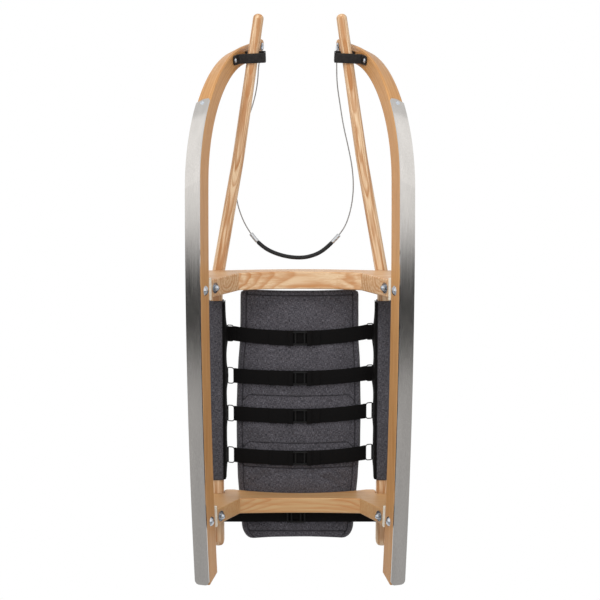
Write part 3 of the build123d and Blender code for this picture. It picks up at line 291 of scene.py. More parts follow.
# The two bridges: sawn from laminated ash boards whose grain runs across the sled, so that the
# slanted legs cut through the rings. Bolts hold their feet to the link plates.
for name, heart, spacing, tilt, sway_by, streaky, pale in (
    ("front_bridge", (-0.036, 0.0, 0.105), 0.0078, 0.11, 0.018, 0.6, (0.670, 0.495, 0.315)),
    ("rear_bridge", (0.400, 0.0, 0.040), 0.0022, 0.008, 0.003, 0.5, (0.530, 0.350, 0.172)),
):
    bridge_ash, tree, shader = finish_named(name + "_ash")
    x, y, z = apart(tree, place_on(tree))
    varnished_ash(
        tree,
        shader,
        joined(tree, y, x, z),
        heart=heart,
        spacing=spacing,
        tilt=tilt,
        sway_by=sway_by,
        streaky=streaky,
        pale=pale,
        ring=(0.440, 0.190, 0.060),
        fibre=(0.470, 0.235, 0.090),
    )
    wear(name, bridge_ash)

# The stringers: rounded ash bars, bent in towards each other at the front and screwed down on the
# bridges. They are the palest wood on the sled.


def mapped(tree, value, start, end, to_start=0.0, to_end=1.0, **settings):
    """The value carried from start and end to two others, and held beyond them."""
    inputs = {"Value": value, "From Min": start, "From Max": end, "To Min": to_start, "To Max": to_end}
    return add(tree, "MapRange", inputs, **settings).outputs[0]


def along_stringer(tree):
    """(across, along, layer): across is |x| less the bar's middle, which runs in straight steps
    from 168 mm at the first bend to 122.6 mm at the second and 80 mm at the tip. The right bar's
    grain is 370 mm further along, so that the two aren't alike."""
    x, y, z = apart(tree, place_on(tree))
    first_bend, second_bend, tip = -0.015, -0.266, -0.55
    straight = mapped(tree, y, second_bend, first_bend, 0.1226, 0.168)
    middle = calc(tree, "ADD", straight, mapped(tree, y, tip, second_bend, -0.0426, 0.0))
    along = calc(tree, "MULTIPLY_ADD", calc(tree, "GREATER_THAN", x, 0.0), 0.37, y)
    return joined(tree, calc(tree, "SUBTRACT", calc(tree, "ABSOLUTE", x), middle), along, z)


stringer_ash, tree, shader = finish_named("stringer_ash")
varnished_ash(
    tree,
    shader,
    along_stringer(tree),
    heart=(0.004, 0.0, 0.160),
    spacing=0.0021,
    tilt=0.013,
    sway_by=0.012,
    streaky=0.85,
    pale=(0.780, 0.600, 0.400),
    ring=(0.400, 0.175, 0.058),
    fibre=(0.420, 0.205, 0.075),
)
for side in ("left", "right"):
    wear(f"stringer_{side}", stringer_ash)

# The leather loops: black harness leather, cut as one strap each, laid round the stringer's tip and
# screwed flat to the horn's inner side at both ends, which are rounded.


def smooth_line(points):
    """The line of a second-degree NURBS curve that has these points as its control points."""
    curve = bpy.data.curves.new("line", "CURVE")
    curve.dimensions = "3D"
    curve.resolution_u = 24
    spline = curve.splines.new("NURBS")
    spline.points.add(len(points) - 1)
    spline.points.foreach_set("co", np.array([(*p, 1.0) for p in points]).ravel())
    spline.order_u = 3
    spline.use_endpoint_u = True
    holder = bpy.data.objects.new("line", curve)
    mesh = bpy.data.meshes.new_from_object(holder)
    line = np.zeros(len(mesh.vertices) * 3)
    mesh.vertices.foreach_get("co", line)
    bpy.data.objects.remove(holder)
    bpy.data.curves.remove(curve)
    bpy.data.meshes.remove(mesh)
    return line.reshape(-1, 3)


def evenly(line, step):
    """Points every `step` along a line, found by its running length."""
    run = np.r_[0, np.cumsum(np.linalg.norm(np.diff(line, axis=0), axis=1))]
    count = max(2, int(round(run[-1] / step)) + 1)
    at = np.linspace(0, run[-1], count)
    return np.stack([np.interp(at, run, line[:, k]) for k in range(3)], 1), at


def unit(vectors):
    """Each row brought to a length of 1."""
    return vectors / np.linalg.norm(vectors, axis=1, keepdims=True)


def stacked(*parts):
    """Points or (u, v) pairs from arrays that broadcast together."""
    return np.stack(np.broadcast_arrays(*parts), -1)


def surface(name, grid, cloth, material, loop_u=False, loop_v=False, capped=False):
    """A mesh from a grid of points, p[i, j], with the cloth's own (u, v) in metres as its UV map.
    Each face joins i, i + 1, j and j + 1, round again where the grid closes on itself. A capped
    grid gets one face over each end row."""
    rows, columns = grid.shape[:2]
    i = np.arange(rows if loop_u else rows - 1)
    j = np.arange(columns if loop_v else columns - 1)
    i, j = np.meshgrid(i, j, indexing="ij")
    ahead, beside = (i + 1) % rows, (j + 1) % columns
    corners = ((i, j), (ahead, j), (ahead, beside), (i, beside))
    faces = np.stack([row * columns + column for row, column in corners], -1).reshape(-1, 4).tolist()
    if capped:
        faces += [list(range(columns)), [(rows - 1) * columns + k for k in reversed(range(columns))]]
    mesh = bpy.data.meshes.new(name)
    mesh.from_pydata(grid.reshape(-1, 3), [], faces)
    layer = mesh.uv_layers.new(name="cloth")
    index = np.zeros(len(mesh.loops), int)
    mesh.loops.foreach_get("vertex_index", index)
    layer.data.foreach_set("uv", cloth.reshape(-1, 2)[index].ravel())
    mesh.polygons.foreach_set("use_smooth", np.ones(len(mesh.polygons), bool))
    mesh.materials.append(material)
    piece = bpy.data.objects.new(name, mesh)
    bpy.context.collection.objects.link(piece)
    return piece


def section_loop(half_width, half_thickness, corner, count=6):
    """A rounded rectangle's outline as (side, up) points, anticlockwise: four corner arcs."""
    corner = min(corner, half_width, half_thickness)
    turn = np.linspace(0, np.pi / 2, count)
    parts = []
    for k, (sx, sy) in enumerate(((1, 1), (-1, 1), (-1, -1), (1, -1))):
        angle = turn + k * np.pi / 2
        centre = np.array([sx * (half_width - corner), sy * (half_thickness - corner)])
        parts.append(centre + corner * np.stack([np.cos(angle), np.sin(angle)], 1))
    return np.concatenate(parts)


def strap(name, route, step, across, section, material, end_round=0.0):
    """A flat strap on a smooth route, with its width along `across`: p = line + side * across + up *
    normal. `section` is its half width, half thickness and corner radius. Near a rounded end, at
    distance d, the half width loses r (1 - sqrt(1 - 0.98 (1 - d / r)^2))."""
    half_width, half_thickness, corner = section
    points, run = evenly(smooth_line(route), step)
    normal = unit(np.cross(unit(np.gradient(points, axis=0)), across))
    loop = section_loop(half_width, half_thickness, corner)
    shrink = np.ones(len(points))
    if end_round:
        from_end = np.minimum(run, run[-1] - run)
        inside = np.clip(1 - from_end / end_round, 0, 1)
        cut = end_round * (1 - np.sqrt(1 - inside**2 * 0.98))
        shrink = (half_width - cut) / half_width
    side = loop[None, :, 0] * shrink[:, None]
    grid = points[:, None] + side[..., None] * across + loop[None, :, 1, None] * normal[:, None]
    return surface(name, grid, stacked(run[:, None], side), material, loop_v=True, capped=True)


leather, tree, shader = finish_named("harness_leather")
place = place_on(tree)
grain = add(tree, "TexVoronoi", {"Vector": place, "Scale": 900.0}, feature="DISTANCE_TO_EDGE")
creases = noise(tree, place, 160.0, 4.0)
look = {
    "Base Color": ramp(tree, creases, (0.3, (0.007, 0.006, 0.006)), (0.7, (0.018, 0.016, 0.015))),
    "Roughness": ramp(tree, creases, (0.3, 0.42), (0.7, 0.6)),
    "Specular IOR Level": 0.3,
}
fill(tree, shader, look)
pebble = calc(tree, "MULTIPLY_ADD", creases, 0.6, calc(tree, "MINIMUM", grain.outputs[0], 0.3))
bumped(tree, shader, pebble, depth=0.00025)


def soft_corners(points, reach):
    """The points, with two more beside each inner corner, `reach` from it along its two runs."""
    points = [Vector(p) for p in points]
    eased = [points[0]]
    for before, corner, after in zip(points, points[1:], points[2:]):
        eased.append(corner + (before - corner).normalized() * reach)
        eased.append(corner)
        eased.append(corner + (after - corner).normalized() * reach)
    return eased + [points[-1]]


loop_route = [
    (-0.12834, -0.46021, 0.15867),
    (-0.11911, -0.46372, 0.18405),
    (-0.06849, -0.46597, 0.18405),
    (-0.06849, -0.47017, 0.21845),
    (-0.10658, -0.46848, 0.21845),
    (-0.09872, -0.47147, 0.24007),
]
for side, sign in (("left", 1), ("right", -1)):
    route = soft_corners([(sign * x, y, z) for x, y, z in loop_route], 0.0055)
    along_horn = np.array([0.0441, sign * 0.9917, sign * 0.1211])
    section = (0.0095, 0.0014, 0.0009)
    loop = strap(f"leather_{side}", route, 0.0012, along_horn, section, leather, end_round=0.006)
    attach(loop, "root")
    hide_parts(f"leather_loop_{side}")

# The pull cable: a thin stranded wire from the lug on one horn to the lug on the other, stiff
# enough to stand in its own wide bow, with a rubber hose over its middle as a grip.
cable_route = [
    (-0.075137, -0.48707, 0.300173),
    (-0.082935, -0.45667, 0.278748),
    (-0.0840, -0.4210, 0.2545),
    (-0.0900, -0.3850, 0.2380),
    (-0.1030, -0.3470, 0.2290),
    (-0.1160, -0.3040, 0.2260),
    (-0.1250, -0.2610, 0.2260),
    (-0.1300, -0.2170, 0.2270),
    (-0.1250, -0.1730, 0.2210),
    (-0.1070, -0.1300, 0.2080),
    (-0.0760, -0.0930, 0.1970),
    (-0.0380, -0.0760, 0.1940),
    (0.0020, -0.0710, 0.1930),
    (0.0320, -0.0780, 0.1940),
    (0.0540, -0.0920, 0.1965),
    (0.0880, -0.1270, 0.2070),
    (0.1010, -0.1630, 0.2160),
    (0.1070, -0.2030, 0.2210),
    (0.1050, -0.2460, 0.2260),
    (0.0965, -0.2890, 0.2310),
    (0.0865, -0.3310, 0.2390),
    (0.0800, -0.3730, 0.2515),
    (0.0740, -0.4140, 0.2680),
    (0.073511, -0.451433, 0.286345),
    (0.074379, -0.486338, 0.301341),
]


def tube_grid(points, run, radius, sides):
    """A tube: p = line + radius(s, angle) * (cos angle * beside + sin angle * above), where `above`
    is as upright as it can be."""
    ahead = unit(np.gradient(points, axis=0))
    beside = unit(np.cross(ahead, (0.0, 0.0, 1.0)))
    above = np.cross(beside, ahead)
    angle = np.linspace(0, 2 * np.pi, sides, endpoint=False)
    reach = radius(run[:, None], angle[None, :]) * np.ones((len(run), sides))
    ring = np.cos(angle)[None, :, None] * beside[:, None] + np.sin(angle)[None, :, None] * above[:, None]
    grid = points[:, None] + reach[..., None] * ring
    return grid, stacked(run[:, None], angle[None, :] * reach.mean())


cable_points, cable_run = evenly(smooth_line(cable_route), 0.0009)


def strands(s, angle):
    """Six strands laid round the wire, one turn in 14 mm: r = r0 (1 + 0.09 cos 6(angle - turn))."""
    return 0.00115 * (1 + 0.09 * np.cos(6 * (angle - 2 * np.pi * s / 0.014)))


cable_wire = speckled(
    "stranded_wire",
    scale=500.0,
    detail=3.0,
    colours=((0.22, 0.22, 0.22), (0.42, 0.41, 0.40)),
    roughness=(0.3, 0.45),
    depth=0.00002,
    plain={"Metallic": 1.0},
)
grid, cloth = tube_grid(cable_points, cable_run, strands, 36)
cable = surface("cable", grid, cloth, cable_wire, loop_v=True, capped=True)


def near(spot):
    """The cable's running length at its point nearest to a spot."""
    return float(cable_run[np.argmin(np.linalg.norm(cable_points - np.array(spot), axis=1))])


left_end = near((-0.0915, -0.1115, 0.2025))
right_end = near((0.0710, -0.1095, 0.2018))


def sleeve_on_cable(name, start, end, step, radius, material):
    """A turned sleeve on a stretch of the cable; its radius is a function of the share along it.
    The outer wall runs from end to end, and the inner one comes back 1.5 mm from the middle."""
    at = np.arange(start, end + step / 2, step)
    points = np.stack([np.interp(at, cable_run, cable_points[:, k]) for k in range(3)], 1)
    share = (at - at[0]) / (at[-1] - at[0])
    outer, cloth = tube_grid(points, at, lambda s, angle: radius(share)[:, None], 40)
    inner, _ = tube_grid(points, at, lambda s, angle: np.full((len(at), 1), 0.0015), 40)
    grid = np.concatenate([outer, inner[::-1]])
    cloth = np.concatenate([cloth, cloth[::-1]])
    return surface(name, grid, cloth, material, loop_u=True, loop_v=True)


hose_rubber = speckled(
    "hose_rubber",
    scale=260.0,
    detail=4.0,
    colours=((0.009, 0.009, 0.0095), (0.020, 0.020, 0.021)),
    roughness=(0.42, 0.55),
    depth=0.00006,
    plain={"Specular IOR Level": 0.22},
)


def hose_radius(share):
    """The hose is 4 mm in radius and drawn in a little at its cut ends."""
    rim = np.minimum(share, 1 - share)
    return 0.0040 - 0.0005 * np.exp(-rim / 0.004)


ferrule_half, hose_from = 0.0105, 0.0108
hose = sleeve_on_cable("hose", left_end + hose_from, right_end - hose_from, 0.0015, hose_radius, hose_rubber)

crimped, tree, shader = finish_named("crimped_aluminium")
brush = noise(tree, place_on(tree), 240.0, 2.0)
brushed = ramp(tree, brush, (0.3, 0.16), (0.7, 0.24))
fill(tree, shader, {"Base Color": (0.56, 0.58, 0.60, 1), "Metallic": 1.0, "Roughness": brushed})


def ferrule_radius(share):
    """A 4.4 mm ferrule with a rounded rim and two crimped waists: 0.3 mm deep bell curves."""
    waists = sum(np.exp(-(((share - c) / 0.09) ** 2)) for c in (0.33, 0.67))
    rim = np.exp(-np.minimum(share, 1 - share) / 0.03)
    return 0.0044 - 0.0003 * waists - 0.0006 * rim


for side, middle in (("left", left_end), ("right", right_end)):
    start, end = middle - ferrule_half, middle + ferrule_half
    ferrule = sleeve_on_cable(f"crimp_{side}", start, end, 0.0004, ferrule_radius, crimped)
    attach(ferrule, "root")
    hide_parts(f"ferrule_{side}")
for piece, node, slot in ((cable, "pull_cable", "cable_steel"), (hose, "hose_grip", "black_rubber")):
    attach(piece, "root")
    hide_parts(node)

# The sleeves: tubes of grey flecked cloth, padded thinly and pulled over the stringers between
# the bridges. Each end is turned in and sewn down 9 mm from its edge.


def flecked_cloth(name, dark, pale, depth, seamed=False):
    """Plain-woven melange: the cloth's (u, v) in metres give a weave of two crossed waves, and each thread's
    tone comes from noise stretched along it. In a seamed cloth the distance from the nearest seam sinks a
    groove exp(-(d / 1.4 mm)^2), whose colour is also darkened as painted shade, and stitches 3.4 mm long lie
    in it."""
    material, tree, shader = finish_named(name)
    uv = add(tree, "UVMap", uv_map="cloth").outputs[0]
    thread, groove_width, stitch_pitch = 0.00062, 0.0014, 0.0034
    weft = noise(tree, uv, (170, 1100, 0), 4.0)
    warp = noise(tree, uv, (1100, 170, 0), 4.0)
    u, v, _ = apart(tree, uv)
    wave_u, wave_v = (calc(tree, "SINE", calc(tree, "MULTIPLY", w, math.pi / thread)) for w in (u, v))
    over = calc(tree, "MULTIPLY", wave_u, wave_v)
    upper = calc(tree, "GREATER_THAN", over, 0.0)
    tone = add(tree, "Mix", {"Factor": upper, 2: weft, 3: warp}).outputs[0]
    medium = [0.68 * a + 0.32 * b for a, b in zip(dark, pale)]
    colour = ramp(tree, tone, (0.38, dark), (0.50, medium), (0.66, pale))
    cloud = ramp(tree, noise(tree, uv, (28, 28, 0), 3.0), (0.35, 0.86), (0.65, 1.0))
    colour = mixed(tree, 1.0, colour, cloud, "MULTIPLY")
    height = calc(tree, "MULTIPLY_ADD", calc(tree, "ABSOLUTE", over), 0.6, calc(tree, "MULTIPLY", tone, 0.5))
    if seamed:
        away = add(tree, "Attribute", attribute_name="from_seam").outputs["Fac"]
        squared = calc(tree, "POWER", calc(tree, "DIVIDE", away, groove_width), 2.0)
        groove_and_painted_shade = calc(tree, "EXPONENT", calc(tree, "MULTIPLY", squared, -1.0))
        run = calc(tree, "ADD", u, v)
        stitch = calc(tree, "SINE", calc(tree, "MULTIPLY", run, 2 * math.pi / stitch_pitch))
        stitched = calc(tree, "GREATER_THAN", stitch, -0.4)
        thread_on = calc(tree, "MULTIPLY", stitched, calc(tree, "LESS_THAN", away, 0.0004))
        # Painted shade: the colour in each seam's groove is mixed up to 72 % towards a quarter of the dark
        # tone.
        colour = mixed(tree, calc(tree, "MULTIPLY", groove_and_painted_shade, 0.72), colour, [0.25 * a for a in dark])
        colour = mixed(tree, calc(tree, "MULTIPLY", thread_on, 0.8), colour, [0.9 * a for a in dark])
        height = calc(tree, "SUBTRACT", height, calc(tree, "MULTIPLY", groove_and_painted_shade, 3.0))
    look = {
        "Base Color": colour,
        "Roughness": 0.85,
        "Specular IOR Level": 0.12,
        "Sheen Weight": 0.12,
        "Sheen Roughness": 0.5,
    }
    fill(tree, shader, look)
    bumped(tree, shader, height, depth)
    return material


seat_slope, rear_bridge_y = 6.0 / 456.0, 0.426
stringer_x, stringer_half = 0.168, 0.016


def stringer_floor(y):
    """The height of the stringers' undersides at y."""
    return 0.197 + seat_slope * (y - rear_bridge_y)


def round_stringer(sign, along, out, up):
    """Points at each y in `along`, `out` and `up` from the middle of a stringer."""
    middle = stringer_floor(along)[:, None] + stringer_half
    return stacked(sign * stringer_x + out, along[:, None], middle + up)


def puckers(u, v, size, seed):
    """Slow wrinkles: a sum of eight waves with fixed directions and phases, from -1 to 1."""
    rng = np.random.default_rng(seed)
    total = np.zeros(np.broadcast(u, v).shape)
    for _ in range(8):
        turn, phase = rng.uniform(0, 2 * np.pi, 2)
        pitch = 2 * np.pi / (size * rng.uniform(0.7, 1.6))
        total = total + np.sin(pitch * (u * np.cos(turn) + v * np.sin(turn)) + phase)
    return total / 8


sleeve_dark, sleeve_pale = (0.020, 0.0195, 0.024), (0.150, 0.145, 0.162)
sleeve_cloth = flecked_cloth("flecked_sleeve", sleeve_dark, sleeve_pale, depth=0.00022)


def sleeve_section(angle, grow):
    """A rounded rectangle round the stringer, by angle: the point where a ray from the middle
    meets the shape |x / a|^5 + |z / b|^5 = 1, pushed out by `grow`."""
    a, b = 0.01275 + grow, stringer_half + grow
    reach = (np.abs(np.cos(angle) / a) ** 5 + np.abs(np.sin(angle) / b) ** 5) ** (-1 / 5)
    return reach * np.cos(angle), reach * np.sin(angle)


for side, sign in (("left", -1), ("right", 1)):
    angle = np.linspace(0, 2 * np.pi, 96, endpoint=False)
    along = np.linspace(0.0145, 0.3835, 300)
    from_end = np.minimum(along - along[0], along[-1] - along)
    hem = np.sqrt(np.clip(1 - np.clip(1 - from_end / 0.004, 0, 1) ** 2, 0, 1))
    stitch = 0.0007 * np.exp(-(((from_end - 0.009) / 0.0012) ** 2))
    wrinkle = puckers(along[:, None], 0.02 * angle[None, :], 0.035, 5 + sign)
    swell = 0.0022 + 0.0007 * wrinkle - stitch[:, None]
    grow = 0.0006 + swell * hem[:, None]
    outer = round_stringer(sign, along, *sleeve_section(angle[None, :], grow))
    lining = np.full((len(along), 1), 0.0004)
    inner = round_stringer(sign, along, *sleeve_section(angle[None, :], lining))
    grid = np.concatenate([outer, inner[::-1]])
    cloth = stacked(along[:, None], angle[None, :] * 0.017)
    cloth = np.concatenate([cloth, cloth[::-1]])
    sleeve = surface(f"sleeve_cloth_{side}", grid, cloth, sleeve_cloth, loop_u=True, loop_v=True)
    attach(sleeve, "root")
    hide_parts(f"sleeve_{side}")

# The bindings: a black woven band sewn round the lower inner corner of each sleeve. It is drawn
# inwards along the seat, most of all at the four rings that hang from it.


def woven_band(name, dark, pale):
    """Black webbing: ribs across the band, 1.3 mm apart, over a fine diagonal of threads. The
    cloth's u runs along the band and its v across it."""
    material, tree, shader = finish_named(name)
    uv = add(tree, "UVMap", uv_map="cloth").outputs[0]
    u, v, _ = apart(tree, uv)
    ribs = calc(tree, "SINE", calc(tree, "MULTIPLY", u, 2 * math.pi / 0.0013))
    slant = calc(tree, "MULTIPLY", calc(tree, "ADD", u, v), 2 * math.pi / 0.0019)
    threads = calc(tree, "MULTIPLY_ADD", calc(tree, "SINE", slant), 0.35, ribs)
    fuzz = calc(tree, "MULTIPLY", noise(tree, uv, (900, 2600, 0), 3.0), 0.5)
    worn = calc(tree, "MULTIPLY_ADD", calc(tree, "MULTIPLY_ADD", threads, 0.2, 0.5), 0.5, fuzz)
    tone = ramp(tree, worn, (0.3, dark), (0.7, pale))
    fill(tree, shader, {"Base Color": tone, "Roughness": 0.8, "Specular IOR Level": 0.08})
    bumped(tree, shader, worn, 0.00045)
    return material


webbing = woven_band("black_woven_band", (0.0022, 0.0021, 0.0021), (0.0075, 0.0071, 0.0073))
strap_rows = (0.090, 0.172, 0.250, 0.337)


def drawn_in(y):
    """How far the bindings are pulled inwards at y: about 2 mm along the seat, and a bell curve
    more at each ring, which the front two pull hardest."""
    seat = 0.0018 / ((1 + np.exp((0.050 - y) / 0.008)) * (1 + np.exp((y - 0.365) / 0.008)))
    pulls = zip(strap_rows, (0.0042, 0.0040, 0.0022, 0.0018))
    return seat + sum(pull * np.exp(-(((y - row) / 0.022) ** 2)) for row, pull in pulls)


for side, sign in (("left", -1), ("right", 1)):
    along = np.linspace(0.0170, 0.3812, 244)
    turn = np.radians(np.linspace(-56, 36, 26))
    height = (turn - turn[0]) / (turn[-1] - turn[0])
    layers = []
    for grow, face in ((0.0052, 1), (0.0036, -1)):
        edge = face * 0.0008 * np.exp(-np.minimum(height, 1 - height) / 0.03)
        dx, dz = sleeve_section(turn, grow - edge)
        ripple = 0.0004 * puckers(along[:, None], 0.02 * height[None, :], 0.03, 31 + sign)
        pull = (drawn_in(along)[:, None] + ripple) * height[None, :] ** 1.5
        out = -sign * (dx[None, :] + pull)
        layers.append(round_stringer(sign, along, out, dz[None, :]))
    grid = np.concatenate([layers[0], layers[1][:, ::-1]], axis=1)
    if sign > 0:
        grid = grid[:, ::-1]
    band = np.concatenate([height, height[::-1]]) * 0.030
    cloth = stacked(along[:, None], band[None, :])
    binding = surface(f"binding_{side}", grid, cloth, webbing, loop_v=True, capped=True)
    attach(binding, "root")
    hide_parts(f"sleeve_tape_{side}")

# The rings: round black wire bent to a rectangle with rounded corners, four on each side. A short
# tab of webbing holds each one to its binding.
ring_wire = speckled(
    "black_wire",
    scale=600.0,
    detail=3.0,
    colours=(0.008, 0.03),
    roughness=(0.30, 0.45),
    depth=0.00002,
    stops=(0.4, 0.75),
)
ring_tilt, ring_half_length, ring_half_width = 0.3597, 0.00775, 0.0162
ring_outer_x, ring_middle_x = 0.14857, 0.1408
y_side = np.array([0.0, 1.0, 0.0])


def trailing(row, x):
    """How far a strap's ends lie ahead of its middle: d (x / 0.134)^2. On the left d is 5 mm for
    the front strap and fades behind it, and on the right it is 8 mm and then 5 mm."""
    fade = math.exp(-(((row - 0.090) / 0.05) ** 2))
    return np.where(x < 0, 0.005 * fade, 0.0048 + 0.0032 * fade) * (x / 0.134) ** 2


def wire_ring(centre, along, half_length, half_width, corner, wire):
    """A closed tube round a rounded rectangle: p = c + along * u + y * v, plus the wire's radius
    times (cos a * outward + sin a * normal)."""
    loop = section_loop(half_length, half_width, corner, 9)
    step = unit(np.roll(loop, -1, 0) - np.roll(loop, 1, 0))
    axes = np.array([along, y_side])
    outward = np.stack([step[:, 1], -step[:, 0]], 1) @ axes
    normal = np.cross(axes[0], axes[1])
    angle = np.linspace(0, 2 * np.pi, 16, endpoint=False)
    spot = centre + loop @ axes
    ring = np.cos(angle)[None, :, None] * outward[:, None] + np.sin(angle)[None, :, None] * normal
    return spot[:, None] + wire * ring


def ring_spot(row, sign):
    """The y of a ring, and the height of its wire in the binding's edge."""
    return row - float(trailing(row, sign * ring_middle_x)), stringer_floor(row) + 0.0317


tab_route = (
    (0.1502, -0.0190),
    (0.1490, -0.0090),
    (0.1462, -0.0022),
    (0.1460, 0.0012),
    (0.1482, 0.0029),
    (0.1508, 0.0012),
    (0.1512, -0.0036),
)
for side, sign in (("left", -1), ("right", 1)):
    for number, row in enumerate(strap_rows, 1):
        ring_y, ring_z = ring_spot(row, sign)
        along = np.array([sign * math.cos(ring_tilt), 0.0, math.sin(ring_tilt)])
        centre = np.array([sign * ring_outer_x, ring_y, ring_z]) - ring_half_length * along
        sizes = {"half_length": ring_half_length, "half_width": ring_half_width, "corner": 0.005}
        grid = wire_ring(centre, along * -sign, **sizes, wire=0.00105)
        cloth = np.zeros((*grid.shape[:2], 2))
        ring = surface(f"ring_{side}_{number}", grid, cloth, ring_wire, loop_u=True, loop_v=True)
        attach(ring, "root")
        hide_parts(f"strap_rings_{side}")
        route = [(sign * x, ring_y, ring_z + z) for x, z in tab_route]
        section = (0.0145, 0.0007, 0.0005)
        tab = strap(f"ring_tab_{side}_{number}", route, 0.0008, -y_side * sign, section, webbing)
        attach(tab, "root")
        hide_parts(f"sleeve_tape_{side}")

# The seat straps: each is one band that passes round a ring's inner wire at both ends and is sewn
# back on top. Under it, a second layer at each side of the slide folds round the slide's end bar.
# At three rings a flap of webbing goes on under the ring to the binding and hides the ring.
strap_radius = 0.375


def strap_floor(row):
    """The height of a seat strap's lower side in the middle."""
    return stringer_floor(row) + 0.00219


def hung(row, s, up):
    """The (x, z) of a point s along the strap's arc from its middle, and `up` above an arc that is
    1.8 mm lower than the strap: with r = R + 1.8 mm - up, x = r sin(s / R) and
    z = floor + R - r cos(s / R)."""
    radius, turn = strap_radius + 0.0018 - up, s / strap_radius
    return radius * math.sin(turn), strap_floor(row) + strap_radius - radius * math.cos(turn)


def half_strap(row):
    """The right half of the main band, from the middle, round the ring's wire and back on top."""
    points = [hung(row, s, 0.0009) for s in np.linspace(0.0, 0.128, 14)]
    points += [hung(row, 0.1340, 0.0002), hung(row, 0.1372, 0.0014), hung(row, 0.1378, 0.0036)]
    points += [hung(row, 0.1362, 0.0052), hung(row, 0.1325, 0.0046)]
    return points + [hung(row, s, 0.0028) for s in np.linspace(0.127, 0.108, 4)]


slide_plastic = speckled(
    "black_plastic",
    scale=700.0,
    detail=2.0,
    colours=(0.005, 0.009),
    roughness=(0.44, 0.54),
    depth=0.00003,
    plain={"Specular IOR Level": 0.18},
)
flap_route = (
    (0.1290, -0.0112),
    (0.1345, -0.0090),
    (0.1420, -0.0062),
    (0.1470, -0.0052),
    (0.1496, -0.0078),
    (0.1500, -0.0120),
)
flaps = {1: (("left", -1), ("right", 1)), 2: (("right", 1),)}
for number, row in enumerate(strap_rows, 1):
    name = f"webbing_{number}"
    half = half_strap(row)
    bent = [(-x, z) for x, z in half[:0:-1]] + half
    route = [(x, row - trailing(row, x), z) for x, z in bent]
    layers = [strap(name, route, 0.0018, -y_side, (0.0148, 0.0008, 0.0006), webbing)]
    for sign, reach in ((-1, 0.062), (1, 0.040)):
        fold = [hung(row, s, -0.0010) for s in np.linspace(reach, 0.028, 5)]
        fold += [hung(row, 0.0245, -0.0022), hung(row, 0.0215, -0.0052), hung(row, 0.0180, -0.0058)]
        fold += [hung(row, 0.0146, -0.0050), hung(row, 0.0136, -0.0026), hung(row, 0.0136, -0.0008)]
        route = [(sign * x, row - trailing(row, sign * x), z) for x, z in fold]
        section = (0.0152, 0.0008, 0.0006)
        fold_name = f"{name}_fold_{reach * 1000:.0f}"
        layers.append(strap(fold_name, route, 0.0010, y_side * sign, section, webbing))
    for side, sign in flaps.get(number, ()):
        ring_y, ring_z = ring_spot(row, sign)
        route = [(sign * x, ring_y, ring_z + z) for x, z in flap_route]
        section = (0.0146, 0.0007, 0.0005)
        layers.append(strap(f"{name}_flap_{side}", route, 0.0010, -y_side * sign, section, webbing))
    for layer in layers:
        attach(layer, "root")
        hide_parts(f"seat_strap_{number}")
    wear(f"strap_buckle_{number}", slide_plastic)
wear("strap_buckle_rear", slide_plastic)

# The rear strap: a band that wraps both stringers behind the rear bridge and is drawn tight
# between them, under the mat's tail.
rear_row = 0.457
rear_turns = (
    (0.0, -0.0012),
    (0.070, -0.0012),
    (0.140, -0.0012),
    (0.160, -0.0012),
    (0.178, -0.0012),
    (0.1822, 0.0030),
    (0.1822, 0.0160),
    (0.1822, 0.0290),
    (0.178, 0.0332),
    (0.168, 0.0334),
    (0.158, 0.0332),
    (0.1538, 0.0290),
    (0.1538, 0.0160),
    (0.1540, 0.0030),
    (0.1500, 0.0008),
    (0.1400, 0.0006),
)
half = [(x, rear_row, stringer_floor(rear_row) + z) for x, z in rear_turns]
route = [(-x, y, z) for x, y, z in half[:0:-1]] + half
rear_band = strap("webbing_rear", route, 0.0018, -y_side, (0.0134, 0.0008, 0.0006), webbing)
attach(rear_band, "root")
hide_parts("seat_strap_rear")

# The seat mat: two sheets of flecked cloth over a thin filling, sewn through along a border and
# three cross seams, two of which turn back at their ends in a fold. It is blown up flat as cloth
# that is pinned at its seams, and is then bent round the straps. Its plan is (y, left, right).
mat_plan = (
    (-0.0055, -0.1225, 0.1205),
    (0.095, -0.1240, 0.1210),
    (0.136, -0.1280, 0.1240),
    (0.218, -0.1330, 0.1270),
    (0.301, -0.1330, 0.1260),
    (0.384, -0.1310, 0.1210),
    (0.476, -0.1230, 0.1120),
    (0.505, -0.1210, 0.1100),
)
folded_seams = (0.210, 0.308)
mat_seams = (0.005, *folded_seams, 0.360, 0.492)
border = 0.013


def mat_rows():
    """The cloth's rows, about 4.2 mm apart, with one on each seam and on both ends."""
    stops = (-0.0055, 0.0, *mat_seams, 0.4955, 0.4985, 0.501, 0.503, 0.5043, 0.505)
    counts = [max(1, round((b - a) / 0.0042)) for a, b in zip(stops, stops[1:])]
    rows = [np.linspace(a, b, n, endpoint=False) for a, b, n in zip(stops, stops[1:], counts)]
    return np.append(np.concatenate(rows), stops[-1])


def mat_edges(y):
    """The mat's left and right edge at y, drawn in by r - sqrt(r^2 - (r - d)^2) at distance d from
    an end whose corners have radius r."""
    at, left, right = np.array(mat_plan).T
    drawn = np.zeros_like(y)
    for distance, corner in ((y - y[0], 0.010), (y[-1] - y, 0.024)):
        inside = np.clip(corner - distance, 0, corner)
        drawn = drawn + corner - np.sqrt(np.maximum(corner**2 - inside**2, 0))
    return np.interp(y, at, left) + drawn, np.interp(y, at, right) - drawn


